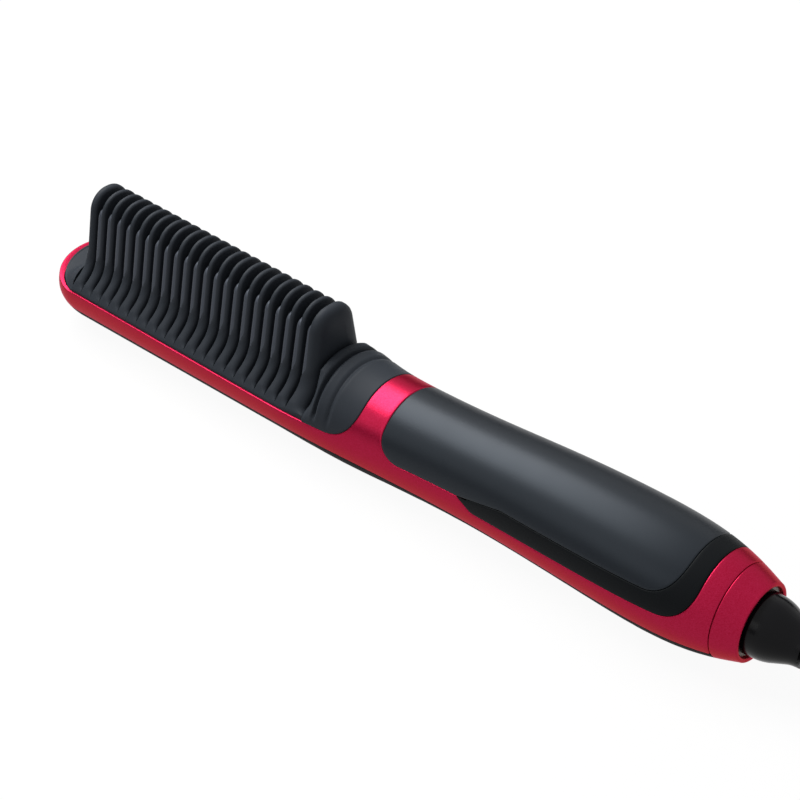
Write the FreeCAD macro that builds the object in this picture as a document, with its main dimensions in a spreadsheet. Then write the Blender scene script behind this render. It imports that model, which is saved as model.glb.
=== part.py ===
import FreeCAD, Part
import math
import os
import re

import Sketcher

# Heated straightening comb: a red casing along X with the comb teeth up.
# The tip is at -X and the swivelling mains lead at +X. The underside stands on Z = 0.

# Driving sizes in millimetres: name, value, what it is
SIZES = [
    ("head_length", 106.0, "tip to the shoulder behind the comb"),
    ("head_radius", 17.6, "round belly of the head"),
    ("head_axis", 16.6, "height of the belly's centre line"),
    ("shoulder_lead", 3.0, "straight stretch that leads into the neck"),
    ("wall", 2.0, "moulded wall of the casings"),
    ("parting_height", 8.0, "joint between casing and back cover"),
    ("seat_height", 15.4, "ledge that the comb cover stands on"),
    ("rim_lip", 0.6, "red rim above that ledge"),
    ("ledge_width", 1.2, "width of that ledge"),
    ("tip_land", 3.3, "width of the red rim at the tip"),
    ("cover_half_width", 16.6, "half the comb cover's width"),
    ("cover_overhang", 6.2, "comb cover past the saddle"),
    ("cover_corner", 11.0, "rounded rear corner of the comb cover"),
    ("arch_lead", 13.0, "start of the arched neck before the saddle"),
    ("band_width", 9.1, "red band between comb cover and grip cover"),
    # comb teeth
    ("rib_count", 23, "comb ribs"),
    ("rib_pitch", 4.3, "rib to rib"),
    ("rib_thickness", 1.3, "one rib"),
    ("rib_start", 22.0, "tip to the first rib"),
    ("rib_rise", 31.3, "top of the first rib above the rim"),
    ("rib_fall", 2.7, "fall of the rib tops towards the neck"),
    ("rib_top_half", 6.0, "half the rib's width at its top corner"),
    ("rib_top_radius", 6.8, "rounding of the rib top"),
    ("rib_foot_half", 10.5, "half the rib's width where it meets the skirt"),
    ("rib_foot_rise", 8.4, "crossing of rib and skirt lines above the rim"),
    ("rib_flare_radius", 5.0, "flare from rib to skirt"),
    ("groove_rise", 2.2, "floor of the grooves above the rim"),
    ("nose_groove", 1.5, "groove before the first rib"),
    ("nose_half", 8.8, "half the flat on the skirt's nose"),
    ("nose_rise", 3.6, "that flat above the rim"),
    # heating plate
    ("fin_thickness", 1.4, "one heating fin"),
    ("fin_rise", 27.0, "top of the first fin above the rim"),
    ("fin_top_half", 6.5, "half the fin's width at its top corner"),
    ("fin_top_radius", 5.0, "rounding of the fin top"),
    ("fin_foot_half", 10.2, "half the fin's width at the plate"),
    ("fin_gap", 0.35, "air between a fin's end and the cover"),
    ("fin_side_gap", 0.1, "air between a fin and the rib behind it"),
    ("plate_half_width", 10.6, "half the heating plate's width"),
    ("plate_margin", 1.0, "plate past the first and last fin"),
    # tongue and ridges behind the comb
    ("tongue_depth", 4.8, "tongue behind the last fin"),
    ("tongue_rise", 29.3, "tongue above the rim"),
    ("tongue_top_half", 8.7, "half the tongue's width at its top corner"),
    ("tongue_foot_half", 13.4, "half the tongue's width at the skirt"),
    ("tongue_top_radius", 8.0, "rounding of the tongue's top"),
    ("tongue_lean", 3.0, "how much lower the tongue's rear face is"),
    ("tongue_draw", 2.4, "how much narrower it is on each side"),
    ("ridge_count", 3, "ridges over the neck"),
    ("ridge_pitch", 3.6, "ridge to ridge"),
    ("ridge_radius", 1.5, "roundness of a ridge"),
    ("ridge_offset", 4.6, "last ridge before the saddle"),
    # grip covers
    ("grip_edge_front", 15.6, "height of the grip cover's edge at its front corner"),
    ("grip_edge_kink", 17.4, "height of that edge where the inlay starts"),
    ("grip_corner", 7.0, "front corner of the grip cover"),
    ("kink_step", 29.0, "neck to the start of the inlay"),
    ("kink_run", 5.0, "length of the inlay's slanted start"),
    ("inlay_edge_front", 14.2, "height of the inlay's lower edge at its start"),
    ("inlay_edge_rear", 16.3, "height of the inlay's lower edge at its rear corner"),
    ("inlay_width", 5.2, "width of the inlay"),
    ("inlay_corner", 9.8, "rear corner of the inlay"),
    ("inlay_rear", 3.6, "inlay's rear edge past the taper"),
    # bosses and screws
    ("boss_radius", 2.6, "screw boss under a cover"),
    ("pillar_radius", 4.4, "screw pillar on the back cover"),
    ("screw_radius", 1.3, "casing screw"),
    ("screw_bite", 8.0, "thread of a casing screw in its boss"),
    ("screw_head_radius", 2.7, "casing screw's head"),
    ("screw_head", 1.8, "height of that head"),
    ("screw_seat", 5.0, "height of the screw's seat"),
    ("tip_screw", 12.0, "tip to the first casing screw"),
    ("neck_screw", 4.9, "casing screw behind the comb cover"),
    ("heel_screw", 4.5, "heel to the casing screw before it"),
    ("stand_radius", 2.4, "stand of the circuit board"),
    ("board_screw_radius", 1.1, "circuit board's screw"),
    ("board_screw_inset", 2.7, "that screw from the board's end"),
    # heater stack
    ("bar_length", 38.0, "heater element"),
    ("bar_gap", 6.0, "space between the heater elements"),
    ("bar_half_width", 6.0, "half a heater element's width"),
    ("bar_thickness", 3.0, "heater element"),
    ("mica_thickness", 0.6, "mica sheet"),
    ("clamp_thickness", 1.0, "clamp plate"),
    ("carrier_height", 5.2, "heater carrier above the standing plane"),
    ("carrier_thickness", 2.0, "heater carrier"),
    ("carrier_half_width", 7.6, "half the heater carrier's width"),
    ("plate_stop", 5.2, "raised end of the carrier"),
    ("plate_screw_radius", 1.2, "heater screw"),
    ("plate_screw_inset", 2.6, "heater screw from the plate's end"),
    ("plate_screw_half", 5.6, "half the distance between heater screws"),
    ("leg_radius", 2.0, "leg of the heater carrier"),
    ("leg_half", 3.0, "half the distance between its legs"),
    ("fuse_radius", 1.4, "thermal fuse"),
    ("fuse_length", 10.0, "thermal fuse"),
    ("sensor_length", 1.6, "temperature sensor"),
    ("lead_radius", 0.8, "inner wire"),
    ("lead_half", 3.6, "half the distance between the heater wires"),
    # controls on the underside
    ("panel_start", 19.5, "neck to the front of the control panel"),
    ("panel_length", 42.0, "control panel"),
    ("panel_half_width", 5.6, "half the control panel's width"),
    ("panel_face", 1.8, "height of the panel's outer face"),
    ("panel_seat", 3.3, "floor inside the handle, with the panel's flange on it"),
    ("panel_flange", 1.0, "thickness of that flange"),
    ("panel_lip", 1.3, "flange behind the panel's opening"),
    ("lens_length", 12.0, "display window"),
    ("lens_half_width", 3.9, "half the display window's width"),
    ("lens_inset", 3.6, "panel's front to the window"),
    ("lens_thickness", 1.2, "display window"),
    ("lens_ledge", 0.7, "ledge behind the display window"),
    ("button_radius", 3.2, "button cap"),
    ("button_first", 20.6, "panel's front to the first button"),
    ("button_pitch", 8.4, "button to button"),
    ("button_height", 0.9, "cap standing out of the panel"),
    ("button_travel", 0.7, "press of a button"),
    ("button_clearance", 0.3, "air round a button cap"),
    ("button_lip", 0.6, "flange that keeps the button in"),
    ("button_lip_height", 0.7, "thickness of that flange"),
    ("button_dish", 0.25, "hollow in a button's face"),
    ("button_stem", 1.5, "radius of the stem that meets the switch"),
    ("button_stem_height", 0.4, "that stem behind the flange"),
    ("switch_half", 2.4, "half a switch's width"),
    ("switch_plunger", 0.5, "plunger of a switch"),
    ("board_thickness", 1.6, "circuit board"),
    ("board_half_width", 8.6, "half the circuit board's width"),
    ("board_front", 7.0, "neck to the front of the board"),
    ("board_rear", 7.0, "palm to the rear of the board"),
    ("relay_half_width", 5.0, "half the relay's width"),
    ("relay_height", 10.0, "relay on the board"),
    ("capacitor_radius", 4.5, "capacitor on the board"),
    # swivel and mains lead
    ("swivel_radius", 8.8, "swivel neck in its bush"),
    ("swivel_clearance", 0.06, "running clearance in the bush"),
    ("bush_wall", 1.35, "wall of the bush"),
    ("mouth_radius", 9.6, "opening in the end rim"),
    ("mouth_bevel", 0.9, "bevel round that opening"),
    ("mouth_depth", 1.4, "depth of the rim in front of the bush"),
    ("spigot_length", 3.2, "collar's spigot in the casing"),
    ("bush_flange", 1.0, "flange of the bush"),
    ("clip_thickness", 1.2, "retaining clip"),
    ("clip_depth", 1.2, "depth of the clip's groove"),
    ("clip_gap", 0.15, "end play of the swivel"),
    ("clip_shoulder", 1.0, "shoulder in front of the clip"),
    ("spindle_radius", 4.2, "spindle that carries the contact rings"),
    ("spindle_length", 14.0, "that spindle"),
    ("ring_width", 2.6, "contact ring"),
    ("ring_height", 0.8, "contact ring over the spindle"),
    ("ring_pitch", 5.0, "contact ring to contact ring"),
    ("ring_inset", 2.2, "spindle's end to the first ring"),
    ("block_thickness", 3.4, "contact block"),
    ("blade_thickness", 0.5, "contact spring"),
    ("blade_rise", 1.6, "contact spring above the swivel's line"),
    ("contact_gap", 0.15, "air between ring and contact spring"),
    ("relief_dome", 11.0, "dome outside the rim"),
    ("relief_waist", 5.7, "radius behind the dome"),
    ("relief_tail", 18.0, "ribbed tail behind the dome"),
    ("relief_end", 4.1, "radius of the tail's end"),
    ("tail_grooves", 5, "grooves of the tail"),
    ("tail_first", 2.4, "dome to the first groove"),
    ("tail_pitch", 3.0, "groove to groove"),
    ("tail_groove", 1.3, "one groove"),
    ("tail_depth", 0.3, "groove under the tail's end radius"),
    ("cord_diameter", 5.6, "mains lead"),
    ("cord_reach", 58.0, "tail to the straight runs of the hank"),
    ("coil_radius", 17.0, "outer turn of the put-away hank"),
    ("coil_straight", 70.0, "straight runs of the hank"),
    ("coil_pitch", 6.3, "turn to turn and layer to layer"),
    ("coil_pairs", 2, "pairs of layers, in and out again"),
    ("coil_ramp", 12.0, "level part at both ends of a run that climbs"),
    ("floor_gap", 0.1, "lead above the floor"),
    ("tie_width", 14.0, "band that ties the hank"),
    ("tie_thickness", 0.6, "that band"),
    ("tie_clearance", 0.35, "air between the band and the turns"),
    # plug
    ("plug_half_width", 17.0, "half the plug's width"),
    ("plug_half_height", 6.8, "half the plug's height"),
    ("plug_length", 36.0, "plug body"),
    ("plug_sleeve", 14.0, "sleeve round the lead"),
    ("plug_run", 56.0, "lead between hank and plug"),
    ("pin_radius", 2.0, "plug pin"),
    ("pin_length", 19.0, "plug pin out of the body"),
    ("pin_half_spacing", 9.3, "half the distance between the pins"),
]

# Sections of the neck and handle: name, step from the section before, radius, height of centre
SECTIONS = [
    ("saddle", 25.0, 15.9, 14.3),
    ("neck", 15.0, 15.2, 14.4),
    ("waist", 25.0, 15.0, 15.6),
    ("swell", 25.0, 15.8, 16.4),
    ("palm", 25.0, 16.6, 16.2),
    ("heel", 15.0, 16.5, 15.8),
    ("taper", 10.0, 15.5, 15.5),
    ("collar", 9.0, 13.4, 15.2),
    ("rim", 7.0, 11.0, 15.0),
]
for section, step, radius, axis in SECTIONS:
    SIZES.append((section + "_step", step, "step to the " + section))
    SIZES.append((section + "_radius", radius, "radius at the " + section))
    SIZES.append((section + "_axis", axis, "centre height at the " + section))

doc = FreeCAD.newDocument("heated_comb")
sheet = doc.addObject("Spreadsheet::Sheet", "Sizes")
for row, (alias, value, note) in enumerate(SIZES, start=1):
    sheet.set("A%d" % row, note)
    sheet.set("B%d" % row, str(value))
    sheet.setAlias("B%d" % row, alias)
doc.recompute()
ALIASES = {alias for alias, value, note in SIZES}
NODES = []

V = FreeCAD.Vector
ALONG_X = FreeCAD.Rotation(V(1, 0, 0), 70).multiply(FreeCAD.Rotation(V(0, 1, 0), 90))
CROSS = FreeCAD.Rotation(V(1, 1, 1), 120)
SIDE = FreeCAD.Rotation(V(1, 0, 0), 90)
PLAN = FreeCAD.Rotation()


# Tools for bound objects

def linked(formula):
    """The formula with each size's name pointing at its cell."""
    def cell(match):
        word = match.group()
        return "Sizes." + word if word in ALIASES else word
    return re.sub(r"[a-z][a-z_]*", cell, str(formula))


def number(formula):
    """The formula's value now."""
    return float(sheet.evalExpression(linked(formula)))


def bind(thing, formulas):
    """Tie properties of an object to formulas of sizes."""
    for name, formula in formulas.items():
        thing.setExpression(name, linked(formula))


def at(thing, x=0, y=0, z=0, turn=PLAN):
    """Put an object's origin at three formulas."""
    thing.Placement = FreeCAD.Placement(V(0, 0, 0), turn)
    bind(thing, {"Placement.Base.x": x, "Placement.Base.y": y, "Placement.Base.z": z})
    return thing


def node(thing, label):
    """Give a finished sub-part its name and keep it for export."""
    thing.Label = label
    NODES.append(thing)
    return thing


def box(name, x, y, z):
    """Block between pairs of formulas on each axis."""
    block = doc.addObject("Part::Box", name)
    bind(block, {
        "Length": "(%s) - (%s)" % (x[1], x[0]),
        "Width": "(%s) - (%s)" % (y[1], y[0]),
        "Height": "(%s) - (%s)" % (z[1], z[0]),
    })
    return at(block, x[0], y[0], z[0])


def wide_box(name, x, half, z):
    """Block that is centred on Y."""
    return box(name, x, ("-(%s)" % half, half), z)


def rod(name, radius, x, y="0", z="rim_axis"):
    """Cylinder along X between two formulas."""
    bar = doc.addObject("Part::Cylinder", name)
    bind(bar, {"Radius": radius, "Height": "(%s) - (%s)" % (x[1], x[0])})
    return at(bar, x[0], y, z, ALONG_X)


def post(name, radius, x, y, z):
    """Cylinder along Z between two formulas."""
    bar = doc.addObject("Part::Cylinder", name)
    bind(bar, {"Radius": radius, "Height": "(%s) - (%s)" % (z[1], z[0])})
    return at(bar, x, y, z[0])


def fuse(name, *shapes):
    """One solid from several that meet."""
    whole = doc.addObject("Part::MultiFuse", name)
    whole.Shapes = list(shapes)
    return whole


def group(name, *shapes):
    """Several separate solids in one object."""
    whole = doc.addObject("Part::Compound", name)
    whole.Links = list(shapes)
    return whole


def common(name, *shapes):
    """What several solids share."""
    whole = doc.addObject("Part::MultiCommon", name)
    whole.Shapes = list(shapes)
    return whole


def cut(name, base, *tools):
    """A solid less one or more others."""
    whole = doc.addObject("Part::Cut", name)
    whole.Base = base
    whole.Tool = tools[0] if len(tools) == 1 else fuse(name + "_tools", *tools)
    return whole


def corner_arc(before, corner, after, radius):
    """Tangent points and arc that round a corner of an outline."""
    entry = (before - corner).normalize()
    leave = (after - corner).normalize()
    half = entry.getAngle(leave) / 2
    reach = radius / math.tan(half)
    first = corner + entry * reach
    last = corner + leave * reach
    centre = corner + (entry + leave).normalize() * (radius / math.sin(half))
    left_turn = (corner - before).cross(after - corner).z > 0
    ends = (first, last) if left_turn else (last, first)
    angles = [math.atan2(end.y - centre.y, end.x - centre.x) for end in ends]
    if angles[1] < angles[0]:
        angles[1] += 2 * math.pi
    circle = Part.Circle(centre, V(0, 0, 1), radius)
    return first, last, Part.ArcOfCircle(circle, angles[0], angles[1]), left_turn


def draw(sketch, corners):
    """Fill a sketch with a closed outline.

    Each corner is (across, up) or (across, up, radius), all formulas, and is held by
    dimensions that are bound to the sheet. A rounded corner keeps its sharp point as
    a construction point where its two lines cross.
    """
    points = [V(number(c[0]), number(c[1]), 0) for c in corners]
    count = len(corners)
    starts = list(points)
    ends = list(points)
    arcs = {}
    for i, corner in enumerate(corners):
        if len(corner) == 3:
            arc = corner_arc(points[i - 1], points[i], points[(i + 1) % count], number(corner[2]))
            ends[i], starts[i] = arc[0], arc[1]
            arcs[i] = arc
    for i in range(count):
        sketch.addGeometry(Part.LineSegment(starts[i], ends[(i + 1) % count]), False)

    def hold(geometry, end, corner, name):
        for kind, formula, point in (("DistanceX", corner[0], 0), ("DistanceY", corner[1], 1)):
            index = sketch.addConstraint(
                Sketcher.Constraint(kind, -1, 1, geometry, end, number(formula)))
            sketch.renameConstraint(index, "%s_%s" % (name, kind[-1].lower()))
            bind(sketch, {"Constraints.%s_%s" % (name, kind[-1].lower()): formula})

    for i, corner in enumerate(corners):
        name = "corner_%s" % chr(ord("a") + i)
        before = (i - 1) % count
        if i not in arcs:
            sketch.addConstraint(Sketcher.Constraint("Coincident", before, 2, i, 1))
            hold(i, 1, corner, name)
            continue
        first, last, arc, left_turn = arcs[i]
        bend = sketch.addGeometry(arc, False)
        near, far = (1, 2) if left_turn else (2, 1)
        sketch.addConstraint(Sketcher.Constraint("Tangent", before, 2, bend, near))
        sketch.addConstraint(Sketcher.Constraint("Tangent", bend, far, i, 1))
        index = sketch.addConstraint(Sketcher.Constraint("Radius", bend, number(corner[2])))
        sketch.renameConstraint(index, name + "_r")
        bind(sketch, {"Constraints.%s_r" % name: corner[2]})
        peak = sketch.addGeometry(Part.Point(points[i]), True)
        sketch.addConstraint(Sketcher.Constraint("PointOnObject", peak, 1, before))
        sketch.addConstraint(Sketcher.Constraint("PointOnObject", peak, 1, i))
        hold(peak, 1, corner, name)
    return sketch


def outline(name, corners, x="0", turn=CROSS):
    """Sketch across the body at X, in a side view or in plan."""
    sketch = doc.addObject("Sketcher::SketchObject", name)
    at(sketch, x, turn=turn)
    return draw(sketch, corners)


def mirrored(corners):
    """Half an outline, from its foot up, carried over to the other side."""
    return corners + [("-(%s)" % c[0],) + tuple(c[1:]) for c in reversed(corners)]


def prism(name, sketch, direction, length, symmetric=False):
    """Solid drawn out of a sketch."""
    solid = doc.addObject("Part::Extrusion", name)
    solid.Base = sketch
    solid.DirMode = "Custom"
    solid.Dir = direction
    solid.Solid = True
    solid.Symmetric = symmetric
    bind(solid, {"LengthFwd": length})
    return solid


def across(name, corners):
    """Side-view outline carried through the whole width."""
    return prism(name, outline(name + "_outline", corners, turn=SIDE), V(0, 1, 0), "6 * head_radius", True)


def loft(name, sections):
    """Smooth solid through closed sections."""
    solid = doc.addObject("Part::Loft", name)
    solid.Sections = sections
    solid.Solid = True
    solid.Ruled = False
    return solid


def turned(name, corners, axis="rim_axis"):
    """Turned piece: an outline of (along X, radius) revolved round the swivel's line."""
    body = doc.addObject("PartDesign::Body", name)
    at(body, z=axis)
    sketch = body.newObject("Sketcher::SketchObject", name + "_outline")
    plane = [f for f in body.Origin.OriginFeatures if f.Role == "XZ_Plane"][0]
    sketch.AttachmentSupport = [(plane, "")]
    sketch.MapMode = "FlatFace"
    draw(sketch, corners)
    doc.recompute()
    spin = body.newObject("PartDesign::Revolution", name + "_spin")
    spin.Profile = sketch
    spin.ReferenceAxis = (sketch, ["H_Axis"])
    spin.Angle = 360
    body.Tip = spin
    return body


# Places along X, as formulas

STEPS = " + ".join(["head_length"] + [section + "_step" for section, step, radius, axis in SECTIONS])
TIP = "(-(%s) / 2)" % STEPS
SHOULDER = "(%s + head_length)" % TIP
PLACE = {}
reached = SHOULDER
for section, step, radius, axis in SECTIONS:
    reached = "(%s + %s_step)" % (reached, section)
    PLACE[section] = reached
TIP_CENTRE = "(%s + head_radius)" % TIP
COVER_CENTRE = "(%s + tip_land + cover_half_width)" % TIP
COVER_END = "(%s + cover_overhang)" % PLACE["saddle"]
ARCH_START = "(%s - arch_lead)" % PLACE["saddle"]
FIRST_RIB = "(%s + rib_start)" % TIP
LAST_RIB = "(%s + (rib_count - 1) * rib_pitch)" % FIRST_RIB
GRIP_START = "(%s + band_width)" % COVER_END
INLAY_START = "(%s + kink_step)" % PLACE["neck"]
INLAY_END = "(%s + inlay_rear)" % PLACE["taper"]
PANEL_START = "(%s + panel_start)" % PLACE["neck"]
PANEL_END = "(%s + panel_length)" % PANEL_START
BOARD_START = "(%s + board_front)" % PLACE["neck"]
BOARD_END = "(%s + board_rear)" % PLACE["palm"]
HANDLE_FLOOR = "(%s + neck_screw + 1.2 * pillar_radius)" % COVER_END
TIP_SCREW = "(%s + tip_screw)" % TIP
NECK_SCREW = "(%s + neck_screw)" % COVER_END
HEEL_SCREW = "(%s - heel_screw)" % PLACE["heel"]
BLOCK_START = "(%s + 0.2)" % PLACE["heel"]
BLOCK_END = "(%s + 8.5)" % PLACE["heel"]
SEAM = PLACE["collar"]
RIM = PLACE["rim"]
RIM_TOP = "(seat_height + rim_lip)"
BOARD_TOP = "(parting_height + board_thickness)"
LEAD_HEIGHT = "(%s + lead_radius)" % BOARD_TOP
HIGH = "(2 * (seat_height + rib_rise))"
WIDE = "(2 * head_radius)"


# Outer form of the casings and the hollow inside it

def body_form(name, inset):
    """Round head and lofted handle, drawn in by an inset."""
    tip = doc.addObject("Part::Sphere", name + "_tip")
    bind(tip, {"Radius": "head_radius - (%s)" % inset})
    at(tip, TIP_CENTRE, z="head_axis")
    lead = "(%s - shoulder_lead)" % SHOULDER
    belly = rod(name + "_belly", "head_radius - (%s)" % inset, (TIP_CENTRE, lead), z="head_axis")
    stations = [("lead", lead, "head_radius", "head_axis"),
                ("shoulder", SHOULDER, "head_radius", "head_axis")]
    for section, step, radius, axis in SECTIONS:
        stations.append((section, PLACE[section], section + "_radius", section + "_axis"))
    rings = []
    for section, x, radius, axis in stations:
        ring = doc.addObject("Part::Circle", "%s_%s" % (name, section))
        bind(ring, {"Radius": "%s - (%s)" % (radius, inset)})
        rings.append(at(ring, x, z=axis, turn=ALONG_X))
    return fuse(name, tip, belly, loft(name + "_handle", rings))


def head_plan(name, half_width, z, end):
    """Upright prism with the plan of the head: a round tip and straight sides."""
    nose = post(name + "_nose", half_width, COVER_CENTRE, 0, z)
    sides = wide_box(name + "_sides", (COVER_CENTRE, end), half_width, z)
    return fuse(name, nose, sides)


above_floor = wide_box("above_floor", (TIP, RIM), WIDE, (0, HIGH))
outer_form = common("outer_form", body_form("outer_body", "0"), above_floor)
hollow_plan = fuse(
    "hollow_plan",
    head_plan("hollow_head", "cover_half_width - ledge_width", ("wall", HIGH), HANDLE_FLOOR),
    wide_box("hollow_handle", (HANDLE_FLOOR, SEAM), "cover_half_width - ledge_width", ("panel_seat", HIGH)))
hollow = common("hollow", body_form("inner_body", "wall"), hollow_plan)
shell = cut("shell", outer_form, hollow)

comb_side = across("comb_side", [
    ("%s - wall" % TIP, RIM_TOP),
    (COVER_END, RIM_TOP, "cover_corner"),
    (COVER_END, HIGH),
    ("%s - wall" % TIP, HIGH),
])
cover_plan = head_plan("cover_plan", "cover_half_width", ("seat_height", HIGH), "%s + wall" % ARCH_START)

GRIP_EDGE = [
    (GRIP_START, "grip_edge_front", "grip_corner"),
    (INLAY_START, "grip_edge_kink"),
]
grip_side = across("grip_side", GRIP_EDGE + [
    ("%s + 3 * kink_run" % INLAY_START, "inlay_edge_front + inlay_width + 1"),
    ("%s - inlay_width" % INLAY_END, "inlay_edge_rear + inlay_width", "inlay_corner - 1"),
    ("%s - inlay_width" % INLAY_END, HIGH),
    (GRIP_START, HIGH),
])
inlay_side = across("inlay_side", [
    (INLAY_START, "grip_edge_kink"),
    ("%s + kink_run" % INLAY_START, "inlay_edge_front"),
    (INLAY_END, "inlay_edge_rear", "inlay_corner"),
    (INLAY_END, HIGH),
    ("%s - inlay_width" % INLAY_END, HIGH),
    ("%s - inlay_width" % INLAY_END, "inlay_edge_rear + inlay_width", "inlay_corner - 1"),
    ("%s + 3 * kink_run" % INLAY_START, "inlay_edge_front + inlay_width + 1"),
])


# Comb cover: skirt, ribs, tongue, ridges and arched neck

def rib_section(name, x, top):
    """Bell outline of the ribs on their skirt."""
    return outline(name, mirrored([
        ("cover_half_width", "seat_height"),
        ("cover_half_width", RIM_TOP),
        ("rib_foot_half", "%s + rib_foot_rise" % RIM_TOP, "rib_flare_radius"),
        ("rib_top_half", top, "rib_top_radius"),
    ]), x)


def slots(name, half_width, floor):
    """Gaps between ribs, one after the other."""
    gaps = []
    for k in range(ribs_in_all - 1):
        left = "%s + %d * rib_pitch + rib_thickness / 2" % (FIRST_RIB, k)
        right = "%s + %d * rib_pitch - rib_thickness / 2" % (FIRST_RIB, k + 1)
        gaps.append(wide_box("%s_%d" % (name, k), (left, right), half_width, (floor, HIGH)))
    return group(name, *gaps)


ribs_in_all = int(number("rib_count"))
loaf_start = "(%s - rib_thickness / 2 - fin_side_gap - fin_thickness)" % FIRST_RIB
loaf_end = "(%s + wall / 2)" % ARCH_START
loaf = loft("rib_loaf", [
    rib_section("rib_front", loaf_start, "%s + rib_rise" % RIM_TOP),
    rib_section("rib_rear", loaf_end, "%s + rib_rise - rib_fall" % RIM_TOP),
])
nose_skirt = doc.addObject("Part::Cone", "nose_skirt")
bind(nose_skirt, {"Radius1": "cover_half_width", "Radius2": "nose_half", "Height": "nose_rise"})
at(nose_skirt, COVER_CENTRE, 0, RIM_TOP)
nose_edge = post("nose_edge", "cover_half_width", COVER_CENTRE, 0, ("seat_height", RIM_TOP))
comb_blank = common("comb_blank", fuse("comb_loaf", loaf, nose_skirt, nose_edge),
                    head_plan("comb_plan", "cover_half_width", ("0", HIGH), loaf_end))
groove_floor = "%s + groove_rise" % RIM_TOP
comb_ribs = cut(
    "comb_ribs", comb_blank,
    wide_box("first_groove", ("%s - nose_groove" % loaf_start, loaf_start), WIDE, (groove_floor, HIGH)),
    slots("grooves", WIDE, groove_floor),
    slots("fin_slots", "fin_foot_half + fin_gap", "0"))


def tongue_section(name, x, foot, top_half, top, radius):
    """One outline of the smooth tongue that closes the comb."""
    return outline(name, mirrored([(foot, RIM_TOP), (top_half, top, radius)]), x)


tongue_front = "%s - rib_thickness / 2" % LAST_RIB
tongue = loft("tongue", [
    tongue_section("tongue_front", tongue_front, "tongue_foot_half", "tongue_top_half",
                   "%s + tongue_rise" % RIM_TOP, "tongue_top_radius"),
    tongue_section("tongue_rear", "%s + tongue_depth" % tongue_front, "tongue_foot_half - tongue_draw",
                   "tongue_top_half - tongue_draw", "%s + tongue_rise - tongue_lean" % RIM_TOP,
                   "tongue_top_radius - tongue_draw"),
])

ridges = []
for k in range(int(number("ridge_count"))):
    share = "((ridge_offset + %d * ridge_pitch) / saddle_step)" % k
    ridge = doc.addObject("Part::Torus", "ridge_%d" % k)
    bind(ridge, {"Radius1": "saddle_radius + (head_radius - saddle_radius) * %s - 0.3" % share,
                 "Radius2": "ridge_radius"})
    ridges.append(at(ridge, "%s - %s * saddle_step" % (PLACE["saddle"], share), 0,
                     "saddle_axis + (head_axis - saddle_axis) * %s" % share, ALONG_X))
upper_arch = wide_box("upper_arch", (ARCH_START, COVER_END), WIDE, (RIM_TOP, HIGH))
neck_arch = common("neck_arch", shell, comb_side, upper_arch)
upper_ridges = common("upper_ridges", fuse("ridge_rings", *ridges),
                      wide_box("ridge_room", (TIP, RIM), WIDE, ("%s + 1" % RIM_TOP, HIGH)))
tip_boss = cut(
    "tip_boss",
    post("tip_boss_post", "boss_radius", TIP_SCREW, 0, ("parting_height", "%s" % RIM_TOP)),
    post("tip_boss_pilot", "screw_radius", TIP_SCREW, 0, ("0", "parting_height + screw_bite")))
comb_cover = node(fuse("comb_whole", comb_ribs, neck_arch, tongue, upper_ridges, tip_boss), "comb_cover")


# Casings

upper_room = wide_box("upper_room", (TIP, SEAM), WIDE, ("parting_height", HIGH))
lower_room = wide_box("lower_room", (TIP, SEAM), WIDE, ("0", "parting_height"))
casing_walls = cut("casing_walls", common("casing_half", shell, upper_room),
                   comb_side, cover_plan, grip_side, inlay_side)
neck_boss = cut(
    "neck_boss",
    post("neck_boss_post", "boss_radius", NECK_SCREW, 0,
         ("parting_height", "neck_axis + neck_radius - wall / 2")),
    post("neck_boss_pilot", "screw_radius", NECK_SCREW, 0, ("0", "parting_height + screw_bite")))
node(fuse("casing_whole", casing_walls, neck_boss), "main_casing")

heel_boss = cut(
    "heel_boss",
    post("heel_boss_post", "boss_radius", HEEL_SCREW, 0,
         ("parting_height", "palm_axis + palm_radius - wall / 2")),
    post("heel_boss_pilot", "screw_radius", HEEL_SCREW, 0, ("0", "parting_height + screw_bite")))
node(fuse("grip_whole", common("grip_wall", shell, grip_side), heel_boss), "handle_cover")
node(common("inlay_wall", shell, inlay_side), "grip_inlay")


def slot_plan(name, start, end, half_width, z):
    """Upright prism with well rounded ends."""
    rounding = "(%s) * 0.9" % half_width
    plan = outline(name + "_plan", [
        (start, "-(%s)" % half_width, rounding),
        (end, "-(%s)" % half_width, rounding),
        (end, half_width, rounding),
        (start, half_width, rounding),
    ], turn=PLAN)
    bind(plan, {"Placement.Base.z": z[0]})
    return prism(name, plan, V(0, 0, 1), "(%s) - (%s)" % (z[1], z[0]))


SCREWS = (("tip", TIP_SCREW), ("neck", NECK_SCREW), ("heel", HEEL_SCREW))
BOARD_SCREWS = (("front", "(%s + board_screw_inset)" % BOARD_START),
                ("rear", "(%s - board_screw_inset)" % BOARD_END))
pillars = [post(name + "_pillar", "pillar_radius", x, 0, ("0", "parting_height")) for name, x in SCREWS]
pillars += [post(name + "_stand", "stand_radius", x, 0, ("0", "parting_height")) for name, x in BOARD_SCREWS]
back_hollow = common("back_hollow", hollow, lower_room)
for pillar in pillars:
    back_hollow = cut(pillar.Name + "_room", back_hollow, pillar)
back_solid = cut("back_solid", common("back_half", outer_form, lower_room), back_hollow)
back_holes = [
    slot_plan("panel_hole", "%s - button_clearance / 3" % PANEL_START,
              "%s + button_clearance / 3" % PANEL_END,
              "panel_half_width + button_clearance / 3", ("-wall", "2 * parting_height")),
    slot_plan("panel_recess", "%s - panel_lip - button_clearance / 3" % PANEL_START,
              "%s + panel_lip + button_clearance / 3" % PANEL_END,
              "panel_half_width + panel_lip + button_clearance / 3", ("panel_seat", "2 * parting_height")),
]
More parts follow.
